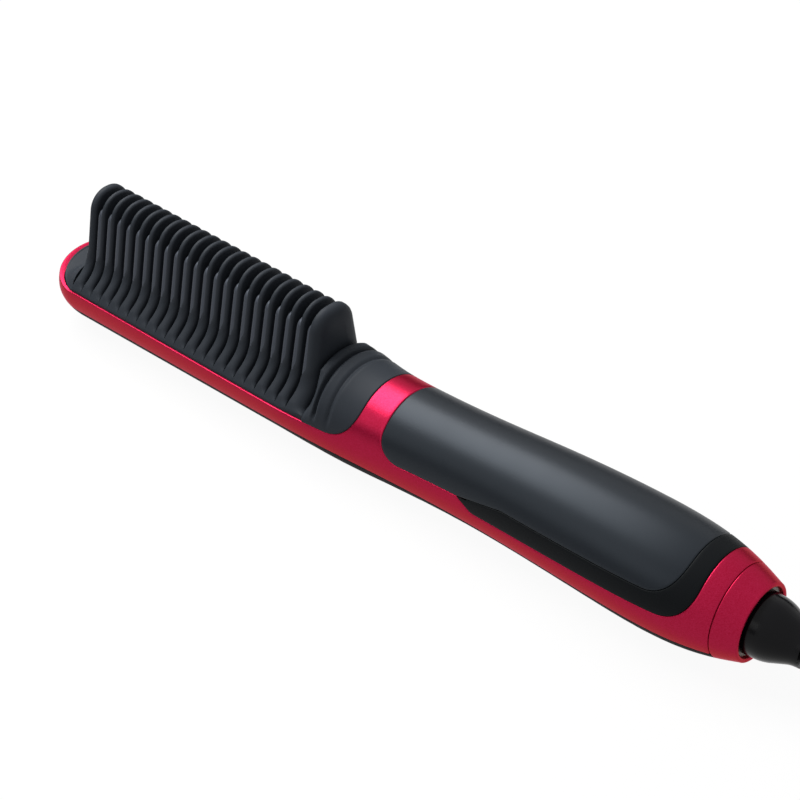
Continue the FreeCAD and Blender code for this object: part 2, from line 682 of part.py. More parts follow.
for name, x in SCREWS:
    back_holes.append(post(name + "_sink", "screw_head_radius + button_clearance", x, 0,
                           ("-wall", "screw_seat")))
    back_holes.append(post(name + "_hole", "screw_radius", x, 0, ("0", "2 * parting_height")))
for name, x in BOARD_SCREWS:
    back_holes.append(post(name + "_stand_hole", "board_screw_radius", x, 0, ("wall", "2 * parting_height")))
node(cut("back_whole", back_solid, *back_holes), "back_cover")

screws = []
for name, x in SCREWS:
    head = post(name + "_screw_head", "screw_head_radius", x, 0, ("screw_seat - screw_head", "screw_seat"))
    shank = post(name + "_screw_shank", "screw_radius", x, 0,
                 ("screw_seat - screw_head / 2", "parting_height + screw_bite - 1"))
    drive = wide_box(name + "_screw_drive",
                     ("%s - screw_head_radius * 0.7" % x, "%s + screw_head_radius * 0.7" % x),
                     "0.35", ("0", "screw_seat - screw_head * 0.6"))
    screws.append(cut(name + "_screw", fuse(name + "_screw_solid", head, shank), drive))
node(group("screw_set", *screws), "casing_screws")


# Heating plate and what clamps it from below

PLATE_START = "(%s + rib_pitch - rib_thickness / 2 - fin_side_gap - fin_thickness - plate_margin)" % FIRST_RIB
PLATE_END = "(%s - rib_thickness / 2 - fin_side_gap + plate_margin)" % LAST_RIB
PLATE_MIDDLE = "((%s + %s) / 2)" % (PLATE_START, PLATE_END)
CARRIER_FLOOR = "carrier_height"
CLAMP_FLOOR = "(%s + carrier_thickness)" % CARRIER_FLOOR
MICA_FLOOR = "(%s + clamp_thickness)" % CLAMP_FLOOR
BAR_FLOOR = "(%s + mica_thickness)" % MICA_FLOOR
PLATE_FLOOR = "(%s + bar_thickness)" % BAR_FLOOR
PILOT_END = "(%s + (seat_height - %s) * 0.67)" % (PLATE_FLOOR, PLATE_FLOOR)

plate_base = wide_box("plate_base", (PLATE_START, PLATE_END), "plate_half_width",
                      (PLATE_FLOOR, "seat_height"))
fins = []
for k in range(ribs_in_all - 1):
    fin_front = "%s + %d * rib_pitch - rib_thickness / 2 - fin_side_gap - fin_thickness" % (FIRST_RIB, k + 1)
    fin_top = "%s + fin_rise - rib_fall * %d / (rib_count - 1)" % (RIM_TOP, k + 1)
    fin_outline = outline("fin_outline_%d" % k, mirrored([
        ("fin_foot_half", "(%s + seat_height) / 2" % PLATE_FLOOR),
        ("fin_foot_half", "%s + rib_foot_rise" % RIM_TOP),
        ("fin_top_half", fin_top, "fin_top_radius"),
    ]), fin_front)
    fins.append(prism("fin_%d" % k, fin_outline, V(1, 0, 0), "fin_thickness"))
plate_screws = []
for end, x in (("front", "%s + plate_screw_inset" % PLATE_START),
               ("rear", "%s - plate_screw_inset" % PLATE_END)):
    for side, y in (("near", "-plate_screw_half"), ("far", "plate_screw_half")):
        plate_screws.append(("%s_%s_plate_screw" % (end, side), x, y))
plate_pilots = [post(name + "_pilot", "plate_screw_radius", x, y, ("0", PILOT_END))
                for name, x, y in plate_screws]
node(cut("plate_whole", fuse("plate_solid", plate_base, *fins), *plate_pilots), "heating_plate")

bar_near = "bar_gap / 2"
bar_far = "bar_gap / 2 + bar_length"
bars = [
    wide_box("front_bar", ("%s - (%s)" % (PLATE_MIDDLE, bar_far), "%s - (%s)" % (PLATE_MIDDLE, bar_near)),
             "bar_half_width", (BAR_FLOOR, PLATE_FLOOR)),
    wide_box("rear_bar", ("%s + (%s)" % (PLATE_MIDDLE, bar_near), "%s + (%s)" % (PLATE_MIDDLE, bar_far)),
             "bar_half_width", (BAR_FLOOR, PLATE_FLOOR)),
]
node(group("bar_set", *bars), "heater_elements")
STACK = ("%s - (%s)" % (PLATE_MIDDLE, bar_far), "%s + (%s)" % (PLATE_MIDDLE, bar_far))
node(wide_box("mica", STACK, "bar_half_width + 0.6", (MICA_FLOOR, BAR_FLOOR)), "mica_sheet")
node(wide_box("clamp", STACK, "bar_half_width + 0.6", (CLAMP_FLOOR, MICA_FLOOR)), "clamp_plate")

legs = []
for end, x in (("front", "%s - bar_length / 2" % PLATE_MIDDLE),
               ("rear", "%s + bar_length / 2" % PLATE_MIDDLE)):
    for side, y in (("near", "-leg_half"), ("far", "leg_half")):
        legs.append(post("%s_%s_leg" % (end, side), "leg_radius", x, y, ("wall", CARRIER_FLOOR)))
carrier_plate = wide_box("carrier_plate", (PLATE_START, PLATE_END), "carrier_half_width",
                         (CARRIER_FLOOR, CLAMP_FLOOR))
carrier_ribs = [wide_box(name, x, "carrier_half_width", (CLAMP_FLOOR, PLATE_FLOOR)) for name, x in (
    ("front_stop", (PLATE_START, "%s + plate_stop" % PLATE_START)),
    ("rear_stop", ("%s - plate_stop" % PLATE_END, PLATE_END)))]
carrier_holes = [post(name + "_hole", "plate_screw_radius", x, y, ("0", "seat_height"))
                 for name, x, y in plate_screws]
lead_holes = [rod("lead_hole_" + side, "lead_radius + 0.2", (PLATE_MIDDLE, "%s + wall" % PLATE_END),
                  y, LEAD_HEIGHT)
              for side, y in (("near", "-lead_half"), ("far", "lead_half"))]
node(cut("carrier_whole", fuse("carrier_solid", carrier_plate, *(legs + carrier_ribs)),
         *(carrier_holes + lead_holes)), "heater_carrier")

plate_screw_solids = []
for name, x, y in plate_screws:
    head = post(name + "_head", "plate_screw_radius * 1.6", x, y, ("%s - 1.6" % CARRIER_FLOOR, CARRIER_FLOOR))
    shank = post(name + "_shank", "plate_screw_radius", x, y,
                 ("%s - 0.8" % CARRIER_FLOOR, "%s - 0.4" % PILOT_END))
    plate_screw_solids.append(fuse(name, head, shank))
node(group("plate_screw_set", *plate_screw_solids), "heater_screws")

fuse_barrel = doc.addObject("Part::Cylinder", "fuse_barrel")
bind(fuse_barrel, {"Radius": "fuse_radius", "Height": "fuse_length"})
at(fuse_barrel, "%s - fuse_radius + 0.2" % PLATE_MIDDLE, "fuse_length / 2",
   "%s + fuse_radius" % BAR_FLOOR, SIDE)
node(fuse_barrel, "thermal_fuse")
node(wide_box("sensor", ("%s + bar_gap / 2 - sensor_length - 0.3" % PLATE_MIDDLE,
                         "%s + bar_gap / 2 - 0.3" % PLATE_MIDDLE),
              "sensor_length", (BAR_FLOOR, PLATE_FLOOR)), "temperature_sensor")
lead_end = "%s + 4" % BOARD_START
node(group("heater_lead_set", *[
    rod("heater_lead_" + side, "lead_radius", ("%s + (%s)" % (PLATE_MIDDLE, bar_far), lead_end),
        y, LEAD_HEIGHT)
    for side, y in (("near", "-lead_half"), ("far", "lead_half"))]), "heater_leads")


# Control panel, buttons and circuit board

panel_plate = slot_plan("panel_plate", PANEL_START, PANEL_END, "panel_half_width",
                        ("panel_face", "panel_seat + panel_flange"))
panel_flange = slot_plan("panel_flange", "%s - panel_lip" % PANEL_START, "%s + panel_lip" % PANEL_END,
                         "panel_half_width + panel_lip", ("panel_seat", "panel_seat + panel_flange"))
LENS_START = "(%s + lens_inset)" % PANEL_START
LENS_END = "(%s + lens_length)" % LENS_START
lens_step = wide_box("lens_step", (LENS_START, LENS_END), "lens_half_width",
                     ("0", "panel_face + lens_thickness"))
lens_window = wide_box("lens_window", ("%s + lens_ledge" % LENS_START, "%s - lens_ledge" % LENS_END),
                       "lens_half_width - lens_ledge", ("0", "2 * panel_seat + panel_flange"))
BUTTONS = [(name, "(%s + button_first + %d * button_pitch)" % (PANEL_START, k))
           for k, name in enumerate(("minus_button", "plus_button", "power_button"))]
button_holes = [post(name + "_hole", "button_radius + button_clearance", x, 0,
                     ("0", "2 * panel_seat + panel_flange")) for name, x in BUTTONS]
node(cut("panel_whole", fuse("panel_solid", panel_plate, panel_flange),
         lens_step, lens_window, *button_holes),
     "control_panel")
node(wide_box("lens", ("%s + 0.05" % LENS_START, "%s - 0.05" % LENS_END), "lens_half_width - 0.05",
              ("panel_face", "panel_face + lens_thickness")), "display_lens")

PANEL_BACK = "(panel_seat + panel_flange)"
LIP_FLOOR = "(%s + 0.1)" % PANEL_BACK
STEM_TOP = "(%s + button_lip_height + button_stem_height)" % LIP_FLOOR
PLUNGER = "(%s + button_travel + 0.05)" % STEM_TOP
switches = []
for name, x in BUTTONS:
    cap = post(name + "_cap", "button_radius", x, 0,
               ("panel_face - button_height", "%s + button_lip_height / 2" % LIP_FLOOR))
    lip = post(name + "_lip", "button_radius + button_clearance + button_lip", x, 0,
               (LIP_FLOOR, "%s + button_lip_height" % LIP_FLOOR))
    stem = post(name + "_stem", "button_stem", x, 0, (LIP_FLOOR, STEM_TOP))
    dish = doc.addObject("Part::Sphere", name + "_dish")
    bind(dish, {"Radius": "5 * button_radius"})
    at(dish, x, 0, "panel_face - button_height - 5 * button_radius + button_dish")
    node(cut(name + "_whole", fuse(name + "_solid", cap, lip, stem), dish), name)
    switch_case = wide_box(name + "_switch", ("%s - switch_half" % x, "%s + switch_half" % x), "switch_half",
                           ("%s + switch_plunger" % PLUNGER, "parting_height"))
    plunger = post(name + "_plunger", "button_stem", x, 0, (PLUNGER, "%s + switch_plunger + 0.2" % PLUNGER))
    switches.append(fuse(name + "_switch_whole", switch_case, plunger))
node(group("switch_set", *switches), "tact_switches")

board_plate = wide_box("board_plate", (BOARD_START, BOARD_END), "board_half_width",
                       ("parting_height", BOARD_TOP))
board_holes = [post(name + "_board_hole", "board_screw_radius", x, 0, ("0", "3 * parting_height"))
               for name, x in BOARD_SCREWS]
node(cut("board_whole", board_plate, *board_holes), "circuit_board")
node(wide_box("display_block", (LENS_START, LENS_END), "lens_half_width",
              ("%s + 0.5" % PANEL_BACK, "parting_height")),
     "display_module")
board_spots = ["%s + (%s - %s) * %s" % (BOARD_START, BOARD_END, BOARD_START, share)
               for share in (0.24, 0.44, 0.573, 0.693, 0.827)]
relay = wide_box("relay", (board_spots[0], board_spots[1]), "relay_half_width",
                 (BOARD_TOP, "%s + relay_height" % BOARD_TOP))
capacitor = post("capacitor", "capacitor_radius", board_spots[2], 0,
                 (BOARD_TOP, "%s + relay_height * 0.9" % BOARD_TOP))
driver = wide_box("driver", (board_spots[3], board_spots[4]), "relay_half_width * 0.8",
                  (BOARD_TOP, "%s + relay_height / 4" % BOARD_TOP))
node(group("component_set", relay, capacitor, driver), "board_components")
board_screw_solids = []
for name, x in BOARD_SCREWS:
    head = post(name + "_board_screw_head", "board_screw_radius * 1.9", x, 0,
                (BOARD_TOP, "%s + 1.3" % BOARD_TOP))
    shank = post(name + "_board_screw_shank", "board_screw_radius", x, 0,
                 ("wall + 1", "%s + 0.6" % BOARD_TOP))
    board_screw_solids.append(fuse(name + "_board_screw", head, shank))
node(group("board_screw_set", *board_screw_solids), "pcb_screws")


# End collar, swivel and contacts

BUSH_OUTER = "(swivel_radius + swivel_clearance + bush_wall)"
MOUTH = "(%s - mouth_depth)" % RIM
SPIGOT_START = "(%s - spigot_length)" % SEAM
BUSH_START = "(%s - bush_flange)" % SPIGOT_START
CLIP_END = "(%s - clip_gap)" % BUSH_START
CLIP_START = "(%s - clip_thickness)" % CLIP_END
SHOULDER_START = "(%s - clip_shoulder)" % CLIP_START
SPINDLE_START = "(%s - spindle_length)" % SHOULDER_START
RELIEF_END = "(%s + relief_dome + relief_tail)" % RIM

collar_room = wide_box("collar_room", (SEAM, "%s + wall" % RIM), WIDE, ("-wall", HIGH))
collar_form = common("collar_form", outer_form, collar_room)
spigot = rod("spigot", "collar_radius - wall - 0.1", (SPIGOT_START, "%s + 0.5" % SEAM))
bevel = doc.addObject("Part::Cone", "mouth_bevel_cone")
bind(bevel, {"Radius1": "mouth_radius", "Radius2": "mouth_radius + mouth_bevel", "Height": "mouth_bevel"})
at(bevel, "%s - mouth_bevel" % RIM, 0, "rim_axis", ALONG_X)
node(cut("collar_whole", fuse("collar_solid", collar_form, spigot),
         rod("collar_bore", BUSH_OUTER, ("%s - wall" % SPIGOT_START, MOUTH)),
         rod("mouth_bore", "mouth_radius", (SEAM, "%s + wall" % RIM)), bevel), "end_collar")

node(turned("bush", [
    (BUSH_START, "swivel_radius + swivel_clearance"),
    (MOUTH, "swivel_radius + swivel_clearance"),
    (MOUTH, BUSH_OUTER),
    (SPIGOT_START, BUSH_OUTER),
    (SPIGOT_START, "%s + bush_flange" % BUSH_OUTER),
    (BUSH_START, "%s + bush_flange" % BUSH_OUTER),
]), "swivel_bush")

relief_solid = turned("relief_solid", [
    (SPINDLE_START, "0"),
    (RELIEF_END, "0"),
    (RELIEF_END, "relief_end", "0.8"),
    ("%s + relief_dome" % RIM, "relief_waist", "8"),
    ("%s + relief_dome * 0.4" % RIM, "swivel_radius - 0.3", "12"),
    ("%s + 0.4" % RIM, "swivel_radius"),
    (CLIP_END, "swivel_radius"),
    (CLIP_END, "swivel_radius - clip_depth"),
    (CLIP_START, "swivel_radius - clip_depth"),
    (CLIP_START, "swivel_radius"),
    (SHOULDER_START, "swivel_radius"),
    (SHOULDER_START, "spindle_radius"),
    (SPINDLE_START, "spindle_radius"),
])
tail_grooves = []
for k in range(int(number("tail_grooves"))):
    groove_start = "(%s + relief_dome + tail_first + %d * tail_pitch)" % (RIM, k)
    ring = rod("tail_ring_%d" % k, "2 * relief_waist", (groove_start, "%s + tail_groove" % groove_start))
    core = rod("tail_core_%d" % k, "relief_end - tail_depth",
               ("%s - 1" % groove_start, "%s + tail_groove + 1" % groove_start))
    tail_grooves.append(cut("tail_groove_%d" % k, ring, core))
node(cut("relief_whole", relief_solid, *tail_grooves), "strain_relief")

node(turned("clip_ring", [
    (CLIP_START, "swivel_radius - clip_depth"),
    (CLIP_END, "swivel_radius - clip_depth"),
    (CLIP_END, "%s + 0.3" % BUSH_OUTER),
    (CLIP_START, "%s + 0.3" % BUSH_OUTER),
]), "swivel_clip")

RINGS = []
for k, side in enumerate(("near", "far")):
    ring_start = "(%s + ring_inset + %d * ring_pitch)" % (SPINDLE_START, k)
    RINGS.append((side, ring_start, "(%s + ring_width)" % ring_start))
node(group("ring_set", *[turned("%s_ring" % side, [
    (start, "spindle_radius"), (end, "spindle_radius"),
    (end, "spindle_radius + ring_height"), (start, "spindle_radius + ring_height"),
]) for side, start, end in RINGS]), "slip_rings")

BLADE = "(spindle_radius + ring_height + contact_gap)"
node(wide_box("contact_base", (BLOCK_START, BLOCK_END), BLADE,
              ("panel_seat", "panel_seat + block_thickness")),
     "contact_block")
blades = []
mains_leads = []
for (side, start, end), inner, outer, wire in (
        (RINGS[0], "-(%s + blade_thickness)" % BLADE, "-%s" % BLADE,
         "-(%s + blade_thickness + lead_radius)" % BLADE),
        (RINGS[1], BLADE, "%s + blade_thickness" % BLADE, "%s + blade_thickness + lead_radius" % BLADE)):
    blades.append(box(side + "_blade", (start, end), (inner, outer), ("panel_seat", "rim_axis + blade_rise")))
    mains_leads.append(rod(side + "_mains_lead", "lead_radius", ("%s - 4" % BOARD_END, end), wire,
                           "%s + lead_radius" % BOARD_TOP))
node(group("blade_set", *blades), "contact_springs")
node(group("mains_lead_set", *mains_leads), "mains_leads")


# Mains lead: free run, hank put away with a tie, and plug

def route_edges(points):
    """Straight runs joined by tangent arcs, and the arcs' radii."""
    edges = []
    radii = []
    last = points[0]
    for before, corner, after in zip(points, points[1:], points[2:]):
        entry = before - corner
        leave = after - corner
        reach = 0.45 * min(entry.Length, leave.Length)
        half = entry.getAngle(leave) / 2
        entry.normalize()
        leave.normalize()
        first = corner + entry * reach
        final = corner + leave * reach
        radius = reach * math.tan(half)
        inward = (entry + leave).normalize()
        middle = corner + inward * (radius / math.sin(half) - radius)
        edges.append(Part.makeLine(last, first))
        edges.append(Part.Arc(first, middle, final).toShape())
        radii.append(radius)
        last = final
    edges.append(Part.makeLine(last, points[-1]))
    return edges, radii


def route(name, points):
    """Wire of straight runs joined by tangent arcs."""
    edges, radii = route_edges(points)
    print(name, "radii", " ".join("%.1f" % r for r in radii))
    return Part.Wire(edges)


def tube(name, wire):
    """Cord along a wire, checked against section times length."""
    radius = number("cord_diameter") / 2
    start = wire.Edges[0]
    normal = start.tangentAt(start.FirstParameter)
    ring = Part.Wire([Part.makeCircle(radius, start.valueAt(start.FirstParameter), normal)])
    thing = doc.addObject("Part::Feature", name)
    thing.Shape = wire.makePipeShell([ring], True, False)
    print(name, "volume %.1f, section x length %.1f, length %.1f" % (
        thing.Shape.Volume, math.pi * radius * radius * wire.Length, wire.Length))
    return thing


def coil_runs():
    """Both ends of the hank's straight runs: in on one layer, out on the next, climbing along a run."""
    outer = number("coil_radius")
    pitch = number("coil_pitch")
    pairs = int(number("coil_pairs"))
    low = number(COIL_FLOOR)
    second, third, inner = (outer - k * pitch / 2 for k in (1, 2, 3))
    plan = [(outer, low, low)]
    for pair in range(pairs):
        base = low + 2 * pair * pitch
        upper = base + pitch
        plan += [(second, base, base), (third, base, base), (inner, base, upper)]
        plan += [(third, upper, upper), (second, upper, upper)]
        plan.append((outer, upper, upper if pair == pairs - 1 else upper + pitch))
    near = number(COIL_START)
    far = number(COIL_STOP)
    middle = number(COIL_Y)
    runs = []
    for k, (radius, first, last) in enumerate(plan):
        ends = (far, near) if k % 2 else (near, far)
        y = middle + (radius if k % 2 else -radius)
        runs.append((V(ends[0], y, first), V(ends[1], y, last)))
    return runs


def coil_wire(runs):
    """Straight runs joined by half turns, with a short straight end at both ends."""
    lead = V(number("cord_diameter"), 0, 0)
    ramp = V(number("coil_ramp"), 0, 0)
    edges = [Part.makeLine(runs[0][0] - lead, runs[0][0])]
    for k, (first, last) in enumerate(runs):
        way = -1 if k % 2 else 1
        if first.z == last.z:
            edges.append(Part.makeLine(first, last))
        else:
            edges += route_edges([first, first + ramp * way, last - ramp * way, last])[0]
        if k + 1 < len(runs):
            after = runs[k + 1][0]
            swing = V((after - last).Length / 2 * way, 0, 0)
            edges.append(Part.Arc(last, (last + after) / 2 + swing, after).toShape())
    edges.append(Part.makeLine(runs[-1][1], runs[-1][1] + lead))
    return Part.Wire(edges)


def least_gap(wire):
    """Smallest space between turns of a coil, from points along it."""
    spots = wire.discretize(Distance=1.0)
    step = wire.Length / (len(spots) - 1)
    skip = int(5 * number("cord_diameter") / step)
    least = min((a - b).Length for i, a in enumerate(spots) for b in spots[i + skip:])
    return least - number("cord_diameter")


COIL_FLOOR = "(cord_diameter / 2 + tie_thickness + tie_clearance + floor_gap)"
COIL_START = "(%s + cord_reach)" % RELIEF_END
COIL_STOP = "(%s + coil_straight)" % COIL_START
COIL_Y = "(coil_pitch / 4)"
PLUG_Y = "0"
PLUG_Z = "(plug_half_height + floor_gap)"
PLUG_TAIL = "(%s + cord_diameter + plug_run)" % COIL_STOP
PLUG_BACK = "(%s + plug_sleeve)" % PLUG_TAIL
PLUG_FACE = "(%s + plug_length)" % PLUG_BACK

cord_start = V(number(RELIEF_END), 0, number("rim_axis"))
hank = coil_runs()
cord_end = hank[0][0] - V(number("cord_diameter"), 0, 0)
run = cord_end - cord_start
cord_points = [
    cord_start,
    cord_start + V(0.24 * run.x, 0, 0),
    V(cord_start.x + 0.52 * run.x, 0.5 * run.y, cord_end.z + 2.0),
    V(cord_start.x + 0.78 * run.x, cord_end.y, cord_end.z),
    cord_end,
]
node(tube("free_cord", route("power_cord", cord_points)), "power_cord")
turns = coil_wire(hank)
node(tube("coil", turns), "cord_coil")
print("cord_coil least gap %.2f" % least_gap(turns))
plug_start = hank[-1][1] + V(number("cord_diameter"), 0, 0)
plug_end = V(number(PLUG_TAIL), number(PLUG_Y), number(PLUG_Z))
reach = plug_end - plug_start
node(tube("plug_cord", route("plug_lead", [
    plug_start,
    plug_start + V(0.26 * reach.x, 0, 0),
    V(plug_start.x + 0.70 * reach.x, plug_end.y, plug_end.z),
    plug_end,
])), "plug_lead")

slack = "(cord_diameter / 2 + tie_clearance)"
COIL_MIDDLE = "(%s + coil_straight / 2)" % COIL_START
tie_room = [("%s - tie_width / 2" % COIL_MIDDLE, "%s + tie_width / 2" % COIL_MIDDLE),
            ("%s - coil_radius - %s" % (COIL_Y, slack),
             "%s + coil_radius - coil_pitch / 2 + %s" % (COIL_Y, slack)),
            ("%s - %s" % (COIL_FLOOR, slack),
             "%s + (2 * coil_pairs - 1) * coil_pitch + %s" % (COIL_FLOOR, slack))]
tie_outer = [tie_room[0]] + [("%s - tie_thickness" % low, "%s + tie_thickness" % high)
                             for low, high in tie_room[1:]]
tie_through = [("%s - tie_width" % COIL_MIDDLE, "%s + tie_width" % COIL_MIDDLE)] + tie_room[1:]
node(cut("tie_whole", box("tie_block", *tie_outer), box("tie_hole", *tie_through)), "coil_tie")


def plug_section(name, x, width, height, radius):
    """Rounded outline across the plug."""
    return outline(name, [
        ("%s - (%s)" % (PLUG_Y, width), "%s - (%s)" % (PLUG_Z, height), radius),
        ("%s + (%s)" % (PLUG_Y, width), "%s - (%s)" % (PLUG_Z, height), radius),
        ("%s + (%s)" % (PLUG_Y, width), "%s + (%s)" % (PLUG_Z, height), radius),
        ("%s - (%s)" % (PLUG_Y, width), "%s + (%s)" % (PLUG_Z, height), radius),
    ], x)


plug_core = loft("plug_core", [
    plug_section("plug_face_outline", PLUG_FACE, "plug_half_width", "plug_half_height",
                 "plug_half_height * 0.9"),
    plug_section("plug_back_outline", PLUG_BACK, "plug_half_width * 0.55", "plug_half_height * 0.9",
                 "plug_half_height * 0.8"),
])
sleeve = doc.addObject("Part::Cone", "plug_sleeve_cone")
bind(sleeve, {"Radius1": "cord_diameter / 2 + 1.1", "Radius2": "plug_half_height * 0.85",
              "Height": "plug_sleeve + 1"})
at(sleeve, PLUG_TAIL, PLUG_Y, PLUG_Z, ALONG_X)
pin_rods = []
pin_holes = []
for side, sign in (("near", "-"), ("far", "+")):
    pin_y = "%s %s pin_half_spacing" % (PLUG_Y, sign)
    pin_rods.append(rod(side + "_pin", "pin_radius",
                        ("%s - 8" % PLUG_FACE, "%s + pin_length" % PLUG_FACE), pin_y, PLUG_Z))
    pin_holes.append(rod(side + "_pin_hole", "pin_radius",
                         ("%s - 8" % PLUG_FACE, "%s + 1" % PLUG_FACE), pin_y, PLUG_Z))
node(cut("plug_whole", fuse("plug_solid", plug_core, sleeve), *pin_holes), "plug_body")
node(group("pin_set", *pin_rods), "plug_pins")


# Check everything, then write one file for each sub-part

doc.recompute()
for thing in doc.Objects:
    if {"Invalid", "Error"} & set(thing.State):
        raise RuntimeError("%s failed: %s" % (thing.Label, thing.State))
for thing in NODES:
    if thing.Shape.isNull() or not thing.Shape.isValid():
        raise RuntimeError("%s has no sound shape" % thing.Label)
os.makedirs("parts", exist_ok=True)
for thing in NODES:
    thing.Shape.exportStep("parts/%s.step" % thing.Label)
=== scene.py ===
import math

import bmesh
import bpy
import numpy as np
from mathutils import Matrix, Vector


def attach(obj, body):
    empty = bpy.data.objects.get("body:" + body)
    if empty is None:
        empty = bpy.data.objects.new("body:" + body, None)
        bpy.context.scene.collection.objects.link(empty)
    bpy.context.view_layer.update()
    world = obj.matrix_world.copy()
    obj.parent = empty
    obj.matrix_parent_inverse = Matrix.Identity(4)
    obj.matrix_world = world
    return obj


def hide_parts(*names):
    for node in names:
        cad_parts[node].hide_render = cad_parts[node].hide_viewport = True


bl_info = {
    "name": "Heated straightening comb",
    "version": (1, 0, 0),
    "blender": (4, 5, 0),
    "location": "View3D > Sidebar > Comb",
    "description": "Dresses the packed comb with its surfaces, lead, materials and studio",
    "category": "Object",
}

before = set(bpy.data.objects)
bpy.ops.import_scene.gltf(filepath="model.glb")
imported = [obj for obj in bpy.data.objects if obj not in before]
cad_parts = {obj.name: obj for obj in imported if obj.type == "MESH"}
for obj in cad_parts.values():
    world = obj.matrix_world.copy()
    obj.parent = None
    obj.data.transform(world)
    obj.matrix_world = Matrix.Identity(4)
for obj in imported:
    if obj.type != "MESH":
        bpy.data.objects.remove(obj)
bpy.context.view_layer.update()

# All shapes are worked out in millimetres in the part's own frame and stored in metres.
MM = 0.001
# Points closer than this, in metres, become one
MERGE_DISTANCE = 2e-6


# Forms

# Outer form of neck and handle: place along X, radius and height of the section's centre
SECTIONS = np.array([
    (-25.0, 17.6, 16.6), (0.0, 15.9, 14.3), (15.0, 15.2, 14.4), (40.0, 15.0, 15.6), (65.0, 15.8, 16.4),
    (90.0, 16.6, 16.2), (105.0, 16.5, 15.8), (115.0, 15.5, 15.5), (124.0, 13.4, 15.2), (131.0, 11.0, 15.0),
])

# Casing: places along X, the parting line with its gap, and the rim's height at two places
TIP = -113.4
TIP_REACH = 13.6
PARTING = 8.0
PARTING_GAP = 0.3
RIM_X = (-112.0, -8.0)
RIM_Z = (16.3, 15.2)
RIM_EDGE = 0.15
RIM_FADE = (-30.0, -12.0)
BAND_END = 15.3
RING_START = 118.6
RING_END = 124.0
COLLAR_END = SECTIONS[-1, 0]
COLLAR_LIP = 0.7
SEAM_DROP = 0.4
RIM_DROP = 1.6

# Grip: edges of the cover and of the casing round it as corners (x, height, radius)
GRIP_EDGE = [(BAND_END, 26.0), (BAND_END, 15.6, 7.0), (44.0, 17.4, 2.0)]
COVER_EDGE = GRIP_EDGE + [(59.0, 20.4, 6.0), (113.4, 21.5, 8.8), (113.4, 34.0)]
CASING_EDGE = GRIP_EDGE + [(49.0, 14.2, 3.0), (RING_START, 16.3, 9.8), (RING_START, 34.0)]

# Comb cover: rear end, its rounded corner, first rib, pitch and number of ribs
COVER_CORNER = 11.0
COVER_END = 6.2
COVER_SEAT = 0.35
RIB_START = -109.7
RIB_PITCH = 4.252
RIBS = 22
# Half widths of skirt and rib top; lobe and knee as half width and height above the rim
SKIRT_HALF = 16.95
SKIRT_CLEARANCE = 0.65
LOBE = (15.3, 3.3)
KNEE = (10.6, 7.6)
RIB_TOP_HALF = 6.0
RIB_TOP_X = (-111.15, -12.0)
RIB_TOP_Z = (47.3, 44.6)
TONGUE_TOP_HALF = 7.0
# Share of a pitch that a rib takes before its centre, then the groove between ribs and the fin's slot
RIB_AHEAD = 0.682
GROOVE_WIDTH = 1.5
GROOVE_START = 1.5
GROOVE_RUN = 3.4
GROOVE_OPENS = (1.4, 3.6)
SLOT_OPENS = (9.0, 13.0)
FIN_SLOT = 1.5
FIRST_SLOT = 0.6
FULL_RIB = 2.8
# Share of the thickness, and how far the rib's or the tongue's face stands in from its outline there
RIB_ACROSS = np.array((0.0, 0.0, 0.0, 0.05, 0.28, 0.45, 0.58, 0.70, 0.80, 0.88, 0.94, 0.98, 1.0, 1.0))
RIB_INSET = np.array((0.0, 0.3, 0.06, 0.0, 0.0, 0.04, 0.13, 0.28, 0.48, 0.74, 1.02, 1.35, 1.8, 0.0))
TONGUE_INSET = np.array((0.0, 0.3, 0.06, 0.0, 0.05, 0.2, 0.5, 0.9, 1.4, 2.0, 2.8, 4.0, 5.0, 0.0))
# Dark bed under the grooves: its ends, half its width and its height
BED_X = (-113.0, -13.0)
BED_HALF = 11.5
BED_HEIGHT = 17.8
# Nose before the first rib and grooves over the neck as place and depth
NOSE = -111.8
NOSE_REACH = 12.4
NOSE_GAP = 0.75
NOSE_OPENS = (0.88, 0.98)
NECK_START = -12.25
NECK_GROOVES = ((NECK_START, 1.9), (-8.3, 1.6), (-3.4, 0.5))
NECK_GROOVE_HALF = 0.62

# Fins: front face before a rib's centre, thickness and drop below the rib's top
FIN_AHEAD = 2.15
FIN_THICKNESS = 1.5
FIN_DROP = 4.3
# Share of a fin's thickness, and how far its face stands in there, apart from the two end walls
FIN_ACROSS = np.array((0.0, 0.0, 0.08, 0.25, 0.5, 0.8, 1.0, 1.0))
FIN_INSET = np.array((0.3, 0.08, 0.0, 0.0, 0.04, 0.1))


def unit(vectors):
    """Vectors divided by their own lengths."""
    return vectors / np.linalg.norm(vectors, axis=-1, keepdims=True)


def ease(values, low, high):
    """Smooth step: 3 t squared less 2 t cubed, where t goes from 0 at low to 1 at high."""
    share = np.clip((np.asarray(values, float) - low) / (high - low), 0.0, 1.0)
    return share * share * (3.0 - 2.0 * share)


